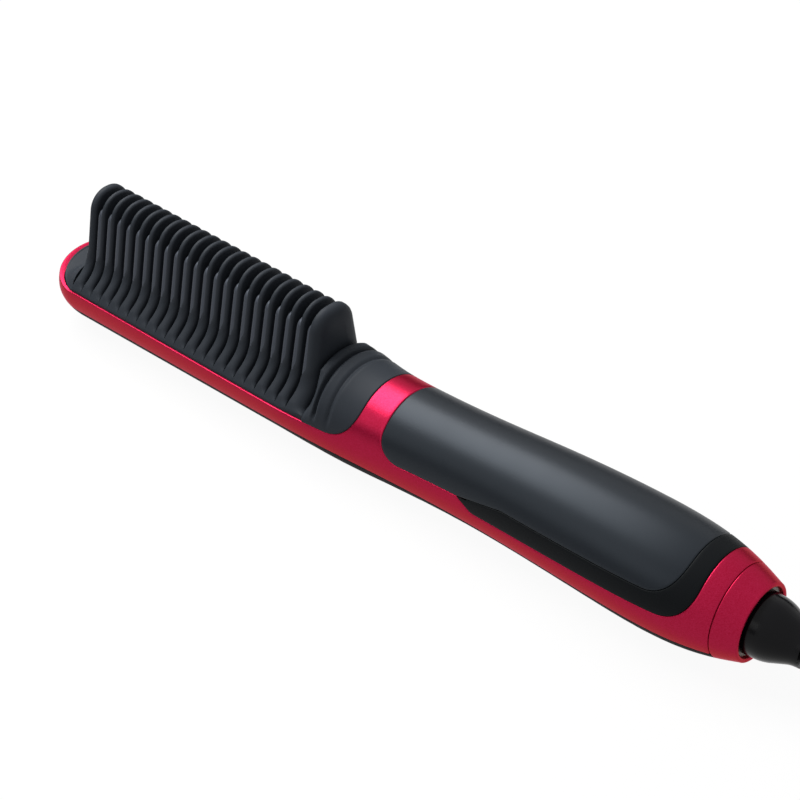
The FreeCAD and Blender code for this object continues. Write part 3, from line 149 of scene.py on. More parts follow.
def smooth_curve(places, values):
    """Cubic spline through the points, level at its start and straight at its end.

    The bends at the points solve one linear system. The result gives value and slope at any place.
    """
    count = len(places)
    step = np.diff(places)
    rise = np.diff(values) / step
    matrix = np.zeros((count, count))
    right = np.zeros(count)
    matrix[0, :2] = (2.0 * step[0], step[0])
    right[0] = 6.0 * rise[0]
    for i in range(1, count - 1):
        matrix[i, i - 1:i + 2] = (step[i - 1], 2.0 * (step[i - 1] + step[i]), step[i])
        right[i] = 6.0 * (rise[i] - rise[i - 1])
    matrix[-1, -1] = 1.0
    bend = np.linalg.solve(matrix, right)

    def value(x):
        """Value and slope at x, from the cubic of the stretch that it lies in."""
        x = np.clip(x, places[0], places[-1])
        i = np.clip(np.searchsorted(places, x) - 1, 0, count - 2)
        h = step[i]
        back = places[i + 1] - x
        ahead = x - places[i]
        level = ((bend[i] * back ** 3 + bend[i + 1] * ahead ** 3) / (6.0 * h)
                 + (values[i] / h - bend[i] * h / 6.0) * back
                 + (values[i + 1] / h - bend[i + 1] * h / 6.0) * ahead)
        slope = ((bend[i + 1] * ahead ** 2 - bend[i] * back ** 2) / (2.0 * h)
                 + rise[i] - (bend[i + 1] - bend[i]) * h / 6.0)
        return level, slope

    return value


section_radius = smooth_curve(SECTIONS[:, 0], SECTIONS[:, 1])
section_centre = smooth_curve(SECTIONS[:, 0], SECTIONS[:, 2])


def rim_height(x):
    """Top of the red rim: a straight line that falls a little towards the neck."""
    return np.interp(x, RIM_X, RIM_Z)


def tip_rise(x):
    """How far the rim climbs round the tip: square of the way past it over that way plus a soft start."""
    slope, soft_start = 0.33, 2.0
    ahead = np.maximum(TIP - np.asarray(x, float), 0.0)
    return slope * ahead ** 2 / (ahead + soft_start)


def tip_plan(turn, start, reach, half):
    """Blunt round end in plan: half an ellipse, from the near side at turn 0 to the far side."""
    return start - reach * np.sin(turn), -half * np.cos(turn)


def grid_normals(points):
    """Unit normals of a grid: cross product of its two slopes, turned away from the middle of the tip."""
    normals = unit(np.cross(np.gradient(points, axis=1), np.gradient(points, axis=0)))
    away = points - np.array((TIP, 0.0, PARTING))
    return normals * np.sign(np.sum(normals * away, axis=-1, keepdims=True))


def skin(x, angle, side=(0.0, -1.0)):
    """Points and normals on the outer form: a circle of the section's radius round the section's centre.

    Side is the level direction that the angle rises from.
    """
    x = np.asarray(x, float)
    radius, widening = section_radius(x)
    centre, rising = section_centre(x)
    level = np.cos(angle)
    lift = np.sin(angle)
    points = np.stack(np.broadcast_arrays(
        x + side[0] * radius * level, side[1] * radius * level, centre + radius * lift), axis=-1)
    normals = np.stack(np.broadcast_arrays(
        side[0] * level - widening - rising * lift, side[1] * level, lift), axis=-1)
    return points, unit(normals)


def angle_at(x, height):
    """Angle on the outer form's near side at a height: arc sine of its rise over the section's radius."""
    return np.arcsin(np.clip((height - section_centre(x)[0]) / section_radius(x)[0], -1.0, 1.0))


def rounded(corners, steps, arc_steps):
    """Points along the lines between corners (u, v, radius), the inner corners rounded.

    An arc weighs its first and last spokes by the sines of the angle still to go and of the angle gone.
    """
    ends = [np.array(corner[:2], float) for corner in corners]
    last = ends[0]
    path = [last[None, :]]
    for i in range(1, len(ends) - 1):
        one = unit(ends[i - 1] - ends[i])
        two = unit(ends[i + 1] - ends[i])
        half = 0.5 * math.acos(float(np.clip(one @ two, -1.0, 1.0)))
        reach = corners[i][2] / math.tan(half)
        start = ends[i] + one * reach
        stop = ends[i] + two * reach
        middle = ends[i] + unit(one + two) * corners[i][2] / math.sin(half)
        path.append(np.linspace(last, start, steps[i - 1] + 1)[1:])
        sweep = math.pi - 2.0 * half
        share = np.linspace(0.0, 1.0, arc_steps[i - 1] + 1)[1:, None]
        path.append(middle + (np.sin((1.0 - share) * sweep) * (start - middle)
                              + np.sin(share * sweep) * (stop - middle)) / math.sin(sweep))
        last = stop
    path.append(np.linspace(last, ends[-1], steps[-1] + 1)[1:])
    return np.concatenate(path)


def outline_normals(path):
    """Unit normals of a plane path: its direction turned a quarter turn to the right."""
    along = unit(np.gradient(path, axis=0))
    return np.stack((along[:, 1], -along[:, 0]), axis=-1)


def shifted(path, distance):
    """A plane path moved to the right of its own direction by a distance."""
    return path + distance * outline_normals(path)


def rolled(edge, inside, normals, radius, land, drop):
    """Strip along a surface's edge: a quarter circle, a straight wall down and a step back under it."""
    along = unit(np.gradient(edge, axis=0))
    out = np.cross(normals, along)
    if np.sum(out * (edge - inside)) < 0.0:
        out = -out
    radius, land = (np.broadcast_to(np.asarray(v, float), len(edge))[:, None] for v in (radius, land))
    turn = np.radians((22.5, 45.0, 67.5, 90.0))[:, None, None]
    rounding = edge + radius * np.sin(turn) * out - radius * (1.0 - np.cos(turn)) * normals
    wall = rounding[-1] - land * normals
    return np.concatenate((edge[None], rounding, wall[None], (wall - drop * out)[None]))


def mirrored(grid):
    """The same points on the far side: y with its sign changed."""
    return grid * np.array((1.0, -1.0, 1.0))


def joined_mesh(name, grids):
    """One mesh of all grids: a point makes a face with the next one in its row and the two below them."""
    faces = []
    first = 0
    for grid in grids:
        rows, columns = grid.shape[:2]
        index = first + np.arange(rows * columns).reshape(rows, columns)
        corners = (index[:-1, :-1], index[:-1, 1:], index[1:, 1:], index[1:, :-1])
        faces.append(np.stack(corners, axis=-1).reshape(-1, 4))
        first += rows * columns
    points = np.concatenate([grid.reshape(-1, 3) for grid in grids]) * MM
    mesh = bpy.data.meshes.new(name)
    mesh.from_pydata(points.tolist(), [], np.concatenate(faces).tolist())
    shape = bmesh.new()
    shape.from_mesh(mesh)
    bmesh.ops.remove_doubles(shape, verts=shape.verts, dist=MERGE_DISTANCE)
    bmesh.ops.dissolve_degenerate(shape, edges=shape.edges, dist=MERGE_DISTANCE / 2.0)
    bmesh.ops.recalc_face_normals(shape, faces=shape.faces)
    shape.to_mesh(mesh)
    shape.free()
    return mesh


def store(name, body, material, grids, replaced, sharp=35.0):
    """Join grids of points into one mesh piece that rides on a body in place of CAD nodes."""
    mesh = joined_mesh(name, grids)
    piece = bpy.data.objects.new(name, mesh)
    bpy.context.scene.collection.objects.link(piece)
    mesh.materials.append(material)
    mesh.shade_smooth()
    mesh.set_sharp_from_angle(angle=math.radians(sharp))
    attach(piece, body)
    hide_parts(*replaced)
    return piece


def tip_surface(share, turn, rim_edge):
    """Casing's tip: the belly's section carried half round an upright axis from the parting line to the rim.

    The square of the share of the height pushes it out to the blunt end and lifts it with the rim.
    """
    low = angle_at(TIP, PARTING + PARTING_GAP)
    angles = low + share * (angle_at(TIP, rim_height(TIP) - rim_edge) - low)
    points = skin(TIP, angles, (-np.sin(turn), -np.cos(turn)))[0]
    half = section_radius(TIP)[0]
    blunt_x, blunt_y = tip_plan(turn, TIP, TIP_REACH, half)
    push = share ** 2 * np.cos(angles)
    points[..., 0] += push * (blunt_x - TIP + half * np.sin(turn))
    points[..., 1] += push * (blunt_y + half * np.cos(turn))
    points[..., 2] += share ** 2 * tip_rise(blunt_x)
    return points


def casing_grids(edge, seam):
    """Red casing: sides, tip and rim, the band round the neck and the ring behind the grip.

    At every place along the upper edge, even steps of angle run down to the parting line. Band and ring
    carry the upper edge's angle over the top to the far side.
    """
    middle = COVER_END - COVER_CORNER
    corner_height = float(rim_height(middle)) + COVER_CORNER
    head = np.linspace(TIP, middle, 60)[:-1]
    head_edge = np.interp(head, RIM_FADE, (RIM_EDGE, edge))
    turn = np.radians(np.linspace(0.0, 90.0, 16))
    reach = COVER_CORNER + edge
    corner = np.stack((middle + reach * np.sin(turn), corner_height - reach * np.cos(turn)), axis=-1)
    grip = shifted(rounded(CASING_EDGE, (1, 12, 4, 40, 1), (12, 4, 5, 16)), edge)[1:-1]
    band = np.linspace(corner[-1], grip[0], 9)[1:-1]
    ring_x = np.linspace(grip[-1, 0], RING_END - edge, 6)[1:]
    x = np.concatenate((head, corner[:, 0], band[:, 0], grip[:, 0], ring_x))
    top = np.concatenate((rim_height(head) - head_edge, corner[:, 1], band[:, 1], grip[:, 1],
                          np.full(len(ring_x), grip[-1, 1])))
    share = np.linspace(0.0, 1.0, 18)[:, None]
    low = angle_at(x, np.full(len(x), PARTING + PARTING_GAP))
    angles = low + share * (angle_at(x, top) - low)
    near, near_normals = skin(x, angles)
    far, far_normals = mirrored(near), mirrored(near_normals)

    turn = np.linspace(0.0, np.pi, 41)[1:-1]
    tip_edge = RIM_EDGE + 0.5 * np.sin(turn) ** 2
    tip = tip_surface(share, turn, tip_edge)
    shell = np.concatenate((near[:, ::-1], tip, far), axis=1)
    normals = np.concatenate((near_normals[:, ::-1], grid_normals(tip), far_normals), axis=1)

    # The rim that the comb cover stands in, from corner to corner round the tip
    head_land = np.interp(head, RIM_FADE, (0.4, seam))
    tip_land = 0.9 + 2.2 * np.sin(turn) ** 2 - tip_edge
    rear_edge = np.full(len(corner), edge)
    rear_land = np.full(len(corner), seam)
    rim_edge = np.concatenate((rear_edge, head_edge[::-1], tip_edge, head_edge, rear_edge))
    rim_land = np.concatenate((rear_land, head_land[::-1], tip_land, head_land, rear_land))
    columns = len(x)
    opening = len(head) + len(corner)
    rim = slice(columns - opening, columns + len(turn) + opening)
    grids = [shell,
             rolled(shell[-1, rim], shell[-2, rim], normals[-1, rim], rim_edge, rim_land, RIM_DROP),
             rolled(shell[0], shell[1], normals[0], PARTING_GAP, 0.8, 0.0)]

    # Band before the grip cover and ring behind it
    over = np.linspace(0.0, 1.0, 41)[:, None]
    grip_start = opening + len(band)
    ring_start = columns - len(ring_x) - 1
    for part in (slice(opening - 1, grip_start + 1), slice(ring_start, columns)):
        start = angles[-1, part]
        points, ups = skin(x[part], start + over * (np.pi - 2.0 * start))
        grids.append(points)
        grids.append(rolled(points[:, 0], points[:, 1], ups[:, 0], edge, seam, SEAM_DROP))
        if part.stop < columns:
            grids.append(rolled(points[:, -1], points[:, -2], ups[:, -1], edge, seam, SEAM_DROP))
            continue
        rear = np.concatenate((near[:, -1], points[1:-1, -1], far[::-1, -1]))
        rear_inside = np.concatenate((near[:, -2], points[1:-1, -2], far[::-1, -2]))
        rear_normals = np.concatenate((near_normals[:, -1], ups[1:-1, -1], far_normals[::-1, -1]))
        grids.append(rolled(rear, rear_inside, rear_normals, edge, seam, SEAM_DROP))
    side = slice(grip_start, ring_start + 1)
    strip = rolled(near[-1, side], near[-2, side], near_normals[-1, side], edge, seam, SEAM_DROP)
    return grids + [strip, mirrored(strip)]


def cover_grids(edge, seam):
    """Dark cover on top of the grip: its edge's angle carried over the top to the far side."""
    path = shifted(rounded(COVER_EDGE, (1, 14, 8, 40, 1), (14, 4, 5, 18)), -edge)[1:-1]
    start = angle_at(path[:, 0], path[:, 1])
    over = np.linspace(0.0, 1.0, 49)[:, None]
    points, normals = skin(path[:, 0], start + over * (np.pi - 2.0 * start))
    borders = [(points[0], points[1], normals[0]), (points[-1], points[-2], normals[-1]),
               (points[:, 0], points[:, 1], normals[:, 0]), (points[:, -1], points[:, -2], normals[:, -1])]
    return [points] + [rolled(*border, edge, seam, SEAM_DROP) for border in borders]


def way_along(points):
    """Length of a path from its start to each of its points."""
    return np.concatenate(([0.0], np.cumsum(np.linalg.norm(np.diff(points, axis=0), axis=1))))


def inlay_grids(edge, seam):
    """Black inlay along both sides of the grip cover and round behind it.

    Its two edges, in steps of even length, are joined by straight steps of place and angle.
    """
    edge_start = 5.0
    sides = []
    for corners, distance in ((COVER_EDGE, edge), (CASING_EDGE, -edge)):
        path = rounded(corners[2:], (20, 120, 1), (6, 24))[:-1]
        path = path + (shifted(path, distance) - path) * ease(way_along(path), 0.0, edge_start)[:, None]
        angles = angle_at(path[:, 0], path[:, 1])
        close = np.linspace(angles[-1], np.pi / 2.0, 25)[1:]
        along = np.concatenate((path[:, 0], np.full(len(close), path[-1, 0])))
        around = np.concatenate((angles, close))
        length = way_along(skin(along, around)[0])
        even = np.linspace(0.0, length[-1], 150)
        along = np.interp(even, length, along)
        around = np.interp(even, length, around)
        sides.append((np.concatenate((along, along[-2::-1])),
                      np.concatenate((around, np.pi - around[-2::-1]))))
    share = np.linspace(0.0, 1.0, 9)[:, None]
    x = sides[0][0] + share * (sides[1][0] - sides[0][0])
    angles = sides[0][1] + share * (sides[1][1] - sides[0][1])
    points, normals = skin(x, angles)
    inner = slice(6, -6)
    borders = [(points[0, inner], points[1, inner], normals[0, inner]),
               (points[-1, inner], points[-2, inner], normals[-1, inner])]
    return [points] + [rolled(*border, edge, seam, SEAM_DROP) for border in borders]


def collar_grids(edge, seam):
    """Red collar round the lead's swivel: the outer form turned full round, then a half circle as its lip."""
    around = np.linspace(0.0, 2.0 * np.pi, 97)[:, None]
    lip_start = COLLAR_END - COLLAR_LIP
    bore_end = COLLAR_END - 5.0
    points, normals = skin(np.linspace(RING_END + edge, lip_start, 12), around)
    radius = section_radius(lip_start)[0]
    centre = section_centre(lip_start)[0]
    turn = np.linspace(0.0, np.pi, 11)[1:]
    lip_x = np.append(lip_start + COLLAR_LIP * np.sin(turn), bore_end)
    lip_radius = np.append(radius - COLLAR_LIP * (1.0 - np.cos(turn)), radius - 2.0 * COLLAR_LIP - 0.3)
    lips = np.stack(np.broadcast_arrays(lip_x, -lip_radius * np.cos(around),
                                        centre + lip_radius * np.sin(around)), axis=-1)
    return [np.concatenate((points, lips), axis=1),
            rolled(points[:, 0], points[:, 1], normals[:, 0], edge, seam, SEAM_DROP)]


def plate_points(x, path, inset):
    """Near side of a standing plate: its outline moved in along its own normals by the inset at each x."""
    normals = outline_normals(path)
    half = path[:, 0, None] - inset * normals[:, 0, None]
    height = path[:, 1, None] - inset * normals[:, 1, None]
    return np.stack(np.broadcast_arrays(x, -half, height), axis=-1)


def closed_plate(near, first=0):
    """Both sides of a standing plate and the walls that join them above a row."""
    far = mirrored(near)
    grids = [near, far]
    for column in (0, -1):
        grids.append(np.stack((near[first:, column], far[first:, column]), axis=1))
    return grids


def rib_outline(rim, top, top_half=RIB_TOP_HALF):
    """Half outline of a rib: skirt, bulging lobe, wide knee, leaning side and top, with rounded corners."""
    corners = [(SKIRT_HALF, rim - 1.0), (SKIRT_HALF, rim + 0.8, 0.8), (LOBE[0], rim + LOBE[1], 4.0),
               (KNEE[0], rim + KNEE[1], 8.5), (top_half, top, 6.8), (0.0, top)]
    return rounded(corners, (2, 6, 4, 14, 3), (4, 4, 12, 16))


def rib_top(x):
    """Height of the rib tops: a straight line that falls towards the neck."""
    return np.interp(x, RIB_TOP_X, RIB_TOP_Z)


def comb_grids(wall):
    """Ribs with the skirt that joins them, the tongue behind them, the nose and the ridged neck.

    A rib is its outline carried across its thickness and moved in by the inset there. The groove beside it
    widens with a power of the height above the rim, and above the knee its front makes room for a fin.
    """
    grids = []
    before = None
    for k in range(RIBS + 1):
        tongue = k == RIBS
        centre = RIB_START + RIB_PITCH * k
        rim = float(rim_height(centre))
        if tongue:
            path = rib_outline(rim, RIB_TOP_Z[1], TONGUE_TOP_HALF)
        else:
            path = rib_outline(rim, float(rib_top(centre)))
        above = (path[:, 1] - rim)[:, None]
        groove = GROOVE_WIDTH * np.clip((above - GROOVE_START) / GROOVE_RUN, 0.0, 1.0) ** 0.7
        opened = ease(above, *GROOVE_OPENS)
        left = groove / 2.0 - RIB_AHEAD * RIB_PITCH
        left = left + (FIN_SLOT if k > 0 else FIRST_SLOT) * ease(above, *SLOT_OPENS)
        right = (NECK_START - centre if tongue else (1.0 - RIB_AHEAD) * RIB_PITCH) - groove / 2.0
        width = right - left
        inset = (TONGUE_INSET if tongue else RIB_INSET) * opened * np.minimum(1.0, width / FULL_RIB)
        inset[:, (0, -1)] = wall * opened
        if tongue:
            inset[:, -1:] = inset[:, -2:-1] + 0.05 * opened
        near = plate_points(centre + left + RIB_ACROSS * width, path, inset)
        near[..., 1] = np.maximum(near[..., 1], SKIRT_CLEARANCE - section_radius(near[..., 0])[0])
        knee = int(np.argmax(path[:, 1] > rim + KNEE[1]))
        grids.extend(closed_plate(near, knee))
        if before is not None:
            groove_floor = np.stack((before[:knee + 1, -1], near[:knee + 1, 0]), axis=1)
            grids.extend((groove_floor, mirrored(groove_floor)))
        before = near
    stop = before[:knee + 1, -1]
    last = np.stack((stop, stop + np.array((2.0, 0.0, 0.0))), axis=1)
    bed_x, bed_y = np.meshgrid(BED_X, (-BED_HALF, BED_HALF), indexing="ij")
    bed = np.stack((bed_x, bed_y, np.full((2, 2), BED_HEIGHT)), axis=-1)
    grids.extend((last, mirrored(last), bed))
    return grids + nose_grids(float(rim_height(NOSE))) + neck_grids()


def nose_grids(rim):
    """Low dome between the tip of the rim and the first rib.

    Its edge, an ellipse in plan, shrinks towards the first rib. The height is a hyperbolic tangent of the way
    in from the edge, steeper and higher at the sides than at the front, plus the rim's climb.
    """
    seam = RIB_START - RIB_AHEAD * RIB_PITCH
    start = math.asin((NOSE - seam) / NOSE_REACH)
    turn = np.linspace(start, np.pi - start, 49)[None, :]
    edge_x, edge_y = tip_plan(turn, NOSE, NOSE_REACH, SKIRT_HALF)
    share = np.concatenate((np.linspace(1.0, 0.84, 12), np.linspace(0.84, 0.0, 22)[1:]))[:, None]
    opened = 1.0 - ease(share, *NOSE_OPENS)
    x = seam - NOSE_GAP * opened + share * (edge_x - seam)
    y = share * edge_y
    inward = (1.0 - share) * np.hypot(edge_x - seam, edge_y)
    front = ease(np.sin(turn), 0.02, 0.65)
    side_slope, front_slope = 1.36, 0.46
    side_crown, front_crown = 6.2, 3.4
    slope = side_slope + (front_slope - side_slope) * front
    crown = side_crown + (front_crown - side_crown) * front
    climb = tip_rise(edge_x - 2.6 * np.sin(turn)) * share ** 2
    dome = np.stack((x, y, rim + 0.3 + crown * np.tanh(slope * inward / crown) + climb), axis=-1)
    skirt = np.stack((dome[0] - np.array((0.0, 0.0, 1.3)), dome[0]), axis=0)
    wall_top = np.concatenate((dome[:, 0], dome[::-1, -1]))
    wall_drop = 4.0 * np.concatenate((opened, opened[::-1]))
    wall_foot = wall_top - wall_drop * np.array((0.0, 0.0, 1.0))
    return [skirt, dome, np.stack((wall_top, wall_foot), axis=0)]


def neck_grids():
    """Arched neck of the comb cover, from the tongue to its rounded rear corners.

    It lies on the outer form, drawn in to the ribs' outline at its front. Bell-shaped grooves cross it and
    fade down its sides.
    """
    middle = COVER_END - COVER_CORNER
    rim = float(rim_height(middle))
    straight = np.linspace(NECK_START, middle, 41)[:-1]
    turn = np.radians(np.linspace(0.0, 90.0, 40))
    reach = COVER_CORNER - COVER_SEAT
    x = np.concatenate((straight, middle + reach * np.sin(turn)))
    low = np.concatenate((rim_height(straight) + COVER_SEAT, rim + COVER_CORNER - reach * np.cos(turn)))
    start = angle_at(x, low)
    angles = start + np.linspace(0.0, 1.0, 97)[:, None] * (np.pi - 2.0 * start)
    points, normals = skin(x, angles)
    height = points[..., 2] - rim_height(x)
    path = rib_outline(0.0, 30.0)
    rib_half = np.interp(height, path[:-4, 1], path[:-4, 0])
    half = np.abs(points[..., 1])
    blend = ease(x, NECK_START - 0.5, NECK_START + 4.2)
    points[..., 1] = np.sign(points[..., 1]) * (np.minimum(rib_half, half) * (1.0 - blend) + half * blend)
    groove = sum(depth * np.exp(-((x - place) / NECK_GROOVE_HALF) ** 2) for place, depth in NECK_GROOVES)
    points = points - (groove * ease(height, 1.4, 5.0))[..., None] * normals
    borders = [(points[0], points[1], normals[0]), (points[-1], points[-2], normals[-1]),
               (points[:, -1], points[:, -2], normals[:, -1])]
    return [points] + [rolled(*border, COVER_SEAT, 0.8, SEAM_DROP) for border in borders]


def fin_grids(wall):
    """Metal fins between the ribs: a rounded outline carried across the thickness, moved in at its edges."""
    inset = np.concatenate(((wall,), FIN_INSET, (wall,)))
    grids = []
    for k in range(1, RIBS + 1):
        centre = RIB_START + RIB_PITCH * k
        rim = float(rim_height(centre))
        top = float(rib_top(centre)) - FIN_DROP
        foot_half = KNEE[0] - 0.1
        corners = [(foot_half, rim + 4.0), (foot_half, rim + KNEE[1] + 0.6, 5.0),
                   (RIB_TOP_HALF + 0.75, top, 2.8), (0.0, top)]
        path = rounded(corners, (3, 12, 3), (4, 14))
        near = plate_points(centre - FIN_AHEAD + FIN_THICKNESS * FIN_ACROSS, path, inset[None, :])
        grids.extend(closed_plate(near))
    return grids


# Lead, in millimetres: free run, the hank's straight runs and the run to the plug
LEAD_START = [(160.0, 0.0, 15.0), (172.576, 0.0, 15.0), (187.248, -7.7125, 5.85), (200.872, -15.425, 3.85),
              (212.4, -15.425, 3.85)]
LEAD_END = [(293.6, -15.425, 22.75), (308.16, -15.425, 22.75), (332.8, 0.0, 6.9), (349.6, 0.0, 6.9)]
# Length in metres
HANK_X = (218.0, 288.0)
HANK_Y = 1.575
HANK_RAMP = 12.0
# Outer run from the hank's middle line, runs from the outside in, and the layers
HANK_OUTSIDE = 17.0
HANK_STEP = 3.15
HANK_DEPTH = 3
HANK_FLOOR = 3.85
HANK_LAYER = 6.3
HANK_LAYERS = 4


def hank_run(k):
    """Distance from the middle line, height at the start and height at the end of a run of the hank.

    Runs go inwards and outwards again by turns, and the last run of a layer climbs to the next layer.
    """
    place = k % (2 * HANK_DEPTH)
    radius = HANK_OUTSIDE - HANK_STEP * min(place, 2 * HANK_DEPTH - place)
    layer = max(0, (k - 1) // HANK_DEPTH)
    climbs = k > 0 and k % HANK_DEPTH == 0 and layer + 1 < HANK_LAYERS
    return radius, HANK_FLOOR + HANK_LAYER * layer, HANK_FLOOR + HANK_LAYER * (layer + climbs)


def hank_points(per_turn):
    """Ends of the hank's runs, and between them half ellipses that turn back to the next run."""
    runs = [hank_run(k) for k in range(HANK_DEPTH * HANK_LAYERS + 1)]
    turn = np.linspace(0.0, np.pi, per_turn // 2 + 1)[1:-1]
    points = []
    for k, (radius, low, high) in enumerate(runs):
        way = -1.0 if k % 2 else 1.0
        first, last = HANK_X[::-1] if k % 2 else HANK_X
        y = HANK_Y - way * radius
        points.append((first, y, low))
        if low != high:
            points.append((first + way * HANK_RAMP, y, low))
            points.append((last - way * HANK_RAMP, y, high))
        points.append((last, y, high))
        if k + 1 < len(runs):
            after = HANK_Y + way * runs[k + 1][0]
            turn_x = last + way * abs(after - y) / 2.0 * np.sin(turn)
            turn_y = (y + after) / 2.0 + (y - after) / 2.0 * np.cos(turn)
            points.extend(zip(turn_x, turn_y, np.full(len(turn), high)))
    return points


# Materials

def new_group(name, sockets):
    """Empty node group with the given inputs and outputs."""
    group = bpy.data.node_groups.new(name, "ShaderNodeTree")
    for label, direction, kind, value in sockets:
        socket = group.interface.new_socket(name=label, in_out=direction, socket_type=kind)
        if value is not None:
            socket.default_value = value
    return group


def grain_group():
    """Fine moulded grain: a bumped normal and a roughness that drifts a little."""
    group = new_group("moulded_grain", [
        ("Scale", "INPUT", "NodeSocketFloat", 2500.0),
        ("Depth", "INPUT", "NodeSocketFloat", 0.15),
        ("Roughness", "INPUT", "NodeSocketFloat", 0.4),
        ("Drift", "INPUT", "NodeSocketFloat", 0.06),
        ("Normal", "OUTPUT", "NodeSocketVector", None),
        ("Roughness", "OUTPUT", "NodeSocketFloat", None),
    ])
    nodes, links = group.nodes, group.links
    given = nodes.new("NodeGroupInput")
    result = nodes.new("NodeGroupOutput")
    place = nodes.new("ShaderNodeTexCoord")
    fine = nodes.new("ShaderNodeTexNoise")
    fine.inputs["Detail"].default_value = 3.0
    links.new(place.outputs["Object"], fine.inputs["Vector"])
    links.new(given.outputs["Scale"], fine.inputs["Scale"])
    bump = nodes.new("ShaderNodeBump")
    bump.inputs["Distance"].default_value = 0.0001
    links.new(given.outputs["Depth"], bump.inputs["Strength"])
    links.new(fine.outputs["Fac"], bump.inputs["Height"])
    links.new(bump.outputs["Normal"], result.inputs["Normal"])
    broad = nodes.new("ShaderNodeTexNoise")
    broad.inputs["Scale"].default_value = 60.0
    broad.inputs["Detail"].default_value = 4.0
    links.new(place.outputs["Object"], broad.inputs["Vector"])
    centred = nodes.new("ShaderNodeMath")
    centred.operation = "SUBTRACT"
    centred.inputs[1].default_value = 0.5
    links.new(broad.outputs["Fac"], centred.inputs[0])
    drift = nodes.new("ShaderNodeMath")
    drift.operation = "MULTIPLY_ADD"
    links.new(centred.outputs["Value"], drift.inputs[0])
    links.new(given.outputs["Drift"], drift.inputs[1])
    links.new(given.outputs["Roughness"], drift.inputs[2])
    links.new(drift.outputs["Value"], result.inputs["Roughness"])
    return group


def flake_group():
    """Pearl pigment: small flakes that brighten a colour here and there."""
    group = new_group("pearl_flakes", [
        ("Base", "INPUT", "NodeSocketColor", (0.4, 0.0, 0.03, 1.0)),
        ("Flake", "INPUT", "NodeSocketColor", (0.7, 0.1, 0.15, 1.0)),
        ("Scale", "INPUT", "NodeSocketFloat", 6000.0),
        ("Amount", "INPUT", "NodeSocketFloat", 0.3),
        ("Color", "OUTPUT", "NodeSocketColor", None),
    ])
    nodes, links = group.nodes, group.links
    given = nodes.new("NodeGroupInput")
    result = nodes.new("NodeGroupOutput")
    place = nodes.new("ShaderNodeTexCoord")
    cells = nodes.new("ShaderNodeTexVoronoi")
    links.new(place.outputs["Object"], cells.inputs["Vector"])
    links.new(given.outputs["Scale"], cells.inputs["Scale"])
    tone = nodes.new("ShaderNodeSeparateColor")
    links.new(cells.outputs["Color"], tone.inputs["Color"])
    share = nodes.new("ShaderNodeMath")
    share.operation = "MULTIPLY"
    links.new(tone.outputs["Red"], share.inputs[0])
    links.new(given.outputs["Amount"], share.inputs[1])
    mix = nodes.new("ShaderNodeMix")
    mix.data_type = "RGBA"
    links.new(share.outputs["Value"], mix.inputs["Factor"])
    links.new(given.outputs["Base"], mix.inputs["A"])
    links.new(given.outputs["Flake"], mix.inputs["B"])
    links.new(mix.outputs["Result"], result.inputs["Color"])
    return group


def coloured(colour):
    """Colour with full alpha, as a socket holds it."""
    return (colour[0], colour[1], colour[2], 1.0)


def plastic(name, colour, roughness, grain=2500.0, depth=0.15, drift=0.06, metallic=0.0, coat=0.0,
            coat_roughness=0.1, specular=0.5, tint=(1.0, 1.0, 1.0)):
    """Moulded plastic, rubber or coated metal with the shared grain."""
    material = bpy.data.materials.new(name)
    material.use_nodes = True
    nodes, links = material.node_tree.nodes, material.node_tree.links
    shader = nodes["Principled BSDF"]
    shader.inputs["Base Color"].default_value = coloured(colour)
    shader.inputs["Metallic"].default_value = metallic
    shader.inputs["Coat Weight"].default_value = coat
    shader.inputs["Coat Roughness"].default_value = coat_roughness
    shader.inputs["Specular IOR Level"].default_value = specular
    shader.inputs["Specular Tint"].default_value = coloured(tint)
    texture = nodes.new("ShaderNodeGroup")
    texture.node_tree = bpy.data.node_groups["moulded_grain"]
    texture.inputs["Scale"].default_value = grain
    texture.inputs["Depth"].default_value = depth
    texture.inputs["Roughness"].default_value = roughness
    texture.inputs["Drift"].default_value = drift
    links.new(texture.outputs["Normal"], shader.inputs["Normal"])
    links.new(texture.outputs["Roughness"], shader.inputs["Roughness"])
    material.diffuse_color = coloured(colour)
    return material


def pearl(name, colour, flake, amount, roughness, metallic, coat, tint):
    """Pearl lacquered plastic: the moulded grain, with flakes mixed into its colour."""
    material = plastic(name, colour, roughness, 1500.0, 0.05, 0.05, metallic, coat, 0.3, tint=tint)
    nodes, links = material.node_tree.nodes, material.node_tree.links
    flakes = nodes.new("ShaderNodeGroup")
    flakes.node_tree = bpy.data.node_groups["pearl_flakes"]
    flakes.inputs["Base"].default_value = coloured(colour)
    flakes.inputs["Flake"].default_value = coloured(flake)
    flakes.inputs["Amount"].default_value = amount
    links.new(flakes.outputs["Color"], nodes["Principled BSDF"].inputs["Base Color"])
    return material


def seen_ray(nodes, links):
    """Output that is 1 for rays from the camera, from gloss and through glass."""
    path = nodes.new("ShaderNodeLightPath")
    either = nodes.new("ShaderNodeMath")
    either.operation = "MAXIMUM"
    links.new(path.outputs["Is Camera Ray"], either.inputs[0])
    links.new(path.outputs["Is Glossy Ray"], either.inputs[1])
    any_ray = nodes.new("ShaderNodeMath")
    any_ray.operation = "MAXIMUM"
    links.new(either.outputs["Value"], any_ray.inputs[0])
    links.new(path.outputs["Is Transmission Ray"], any_ray.inputs[1])
    return any_ray.outputs["Value"]


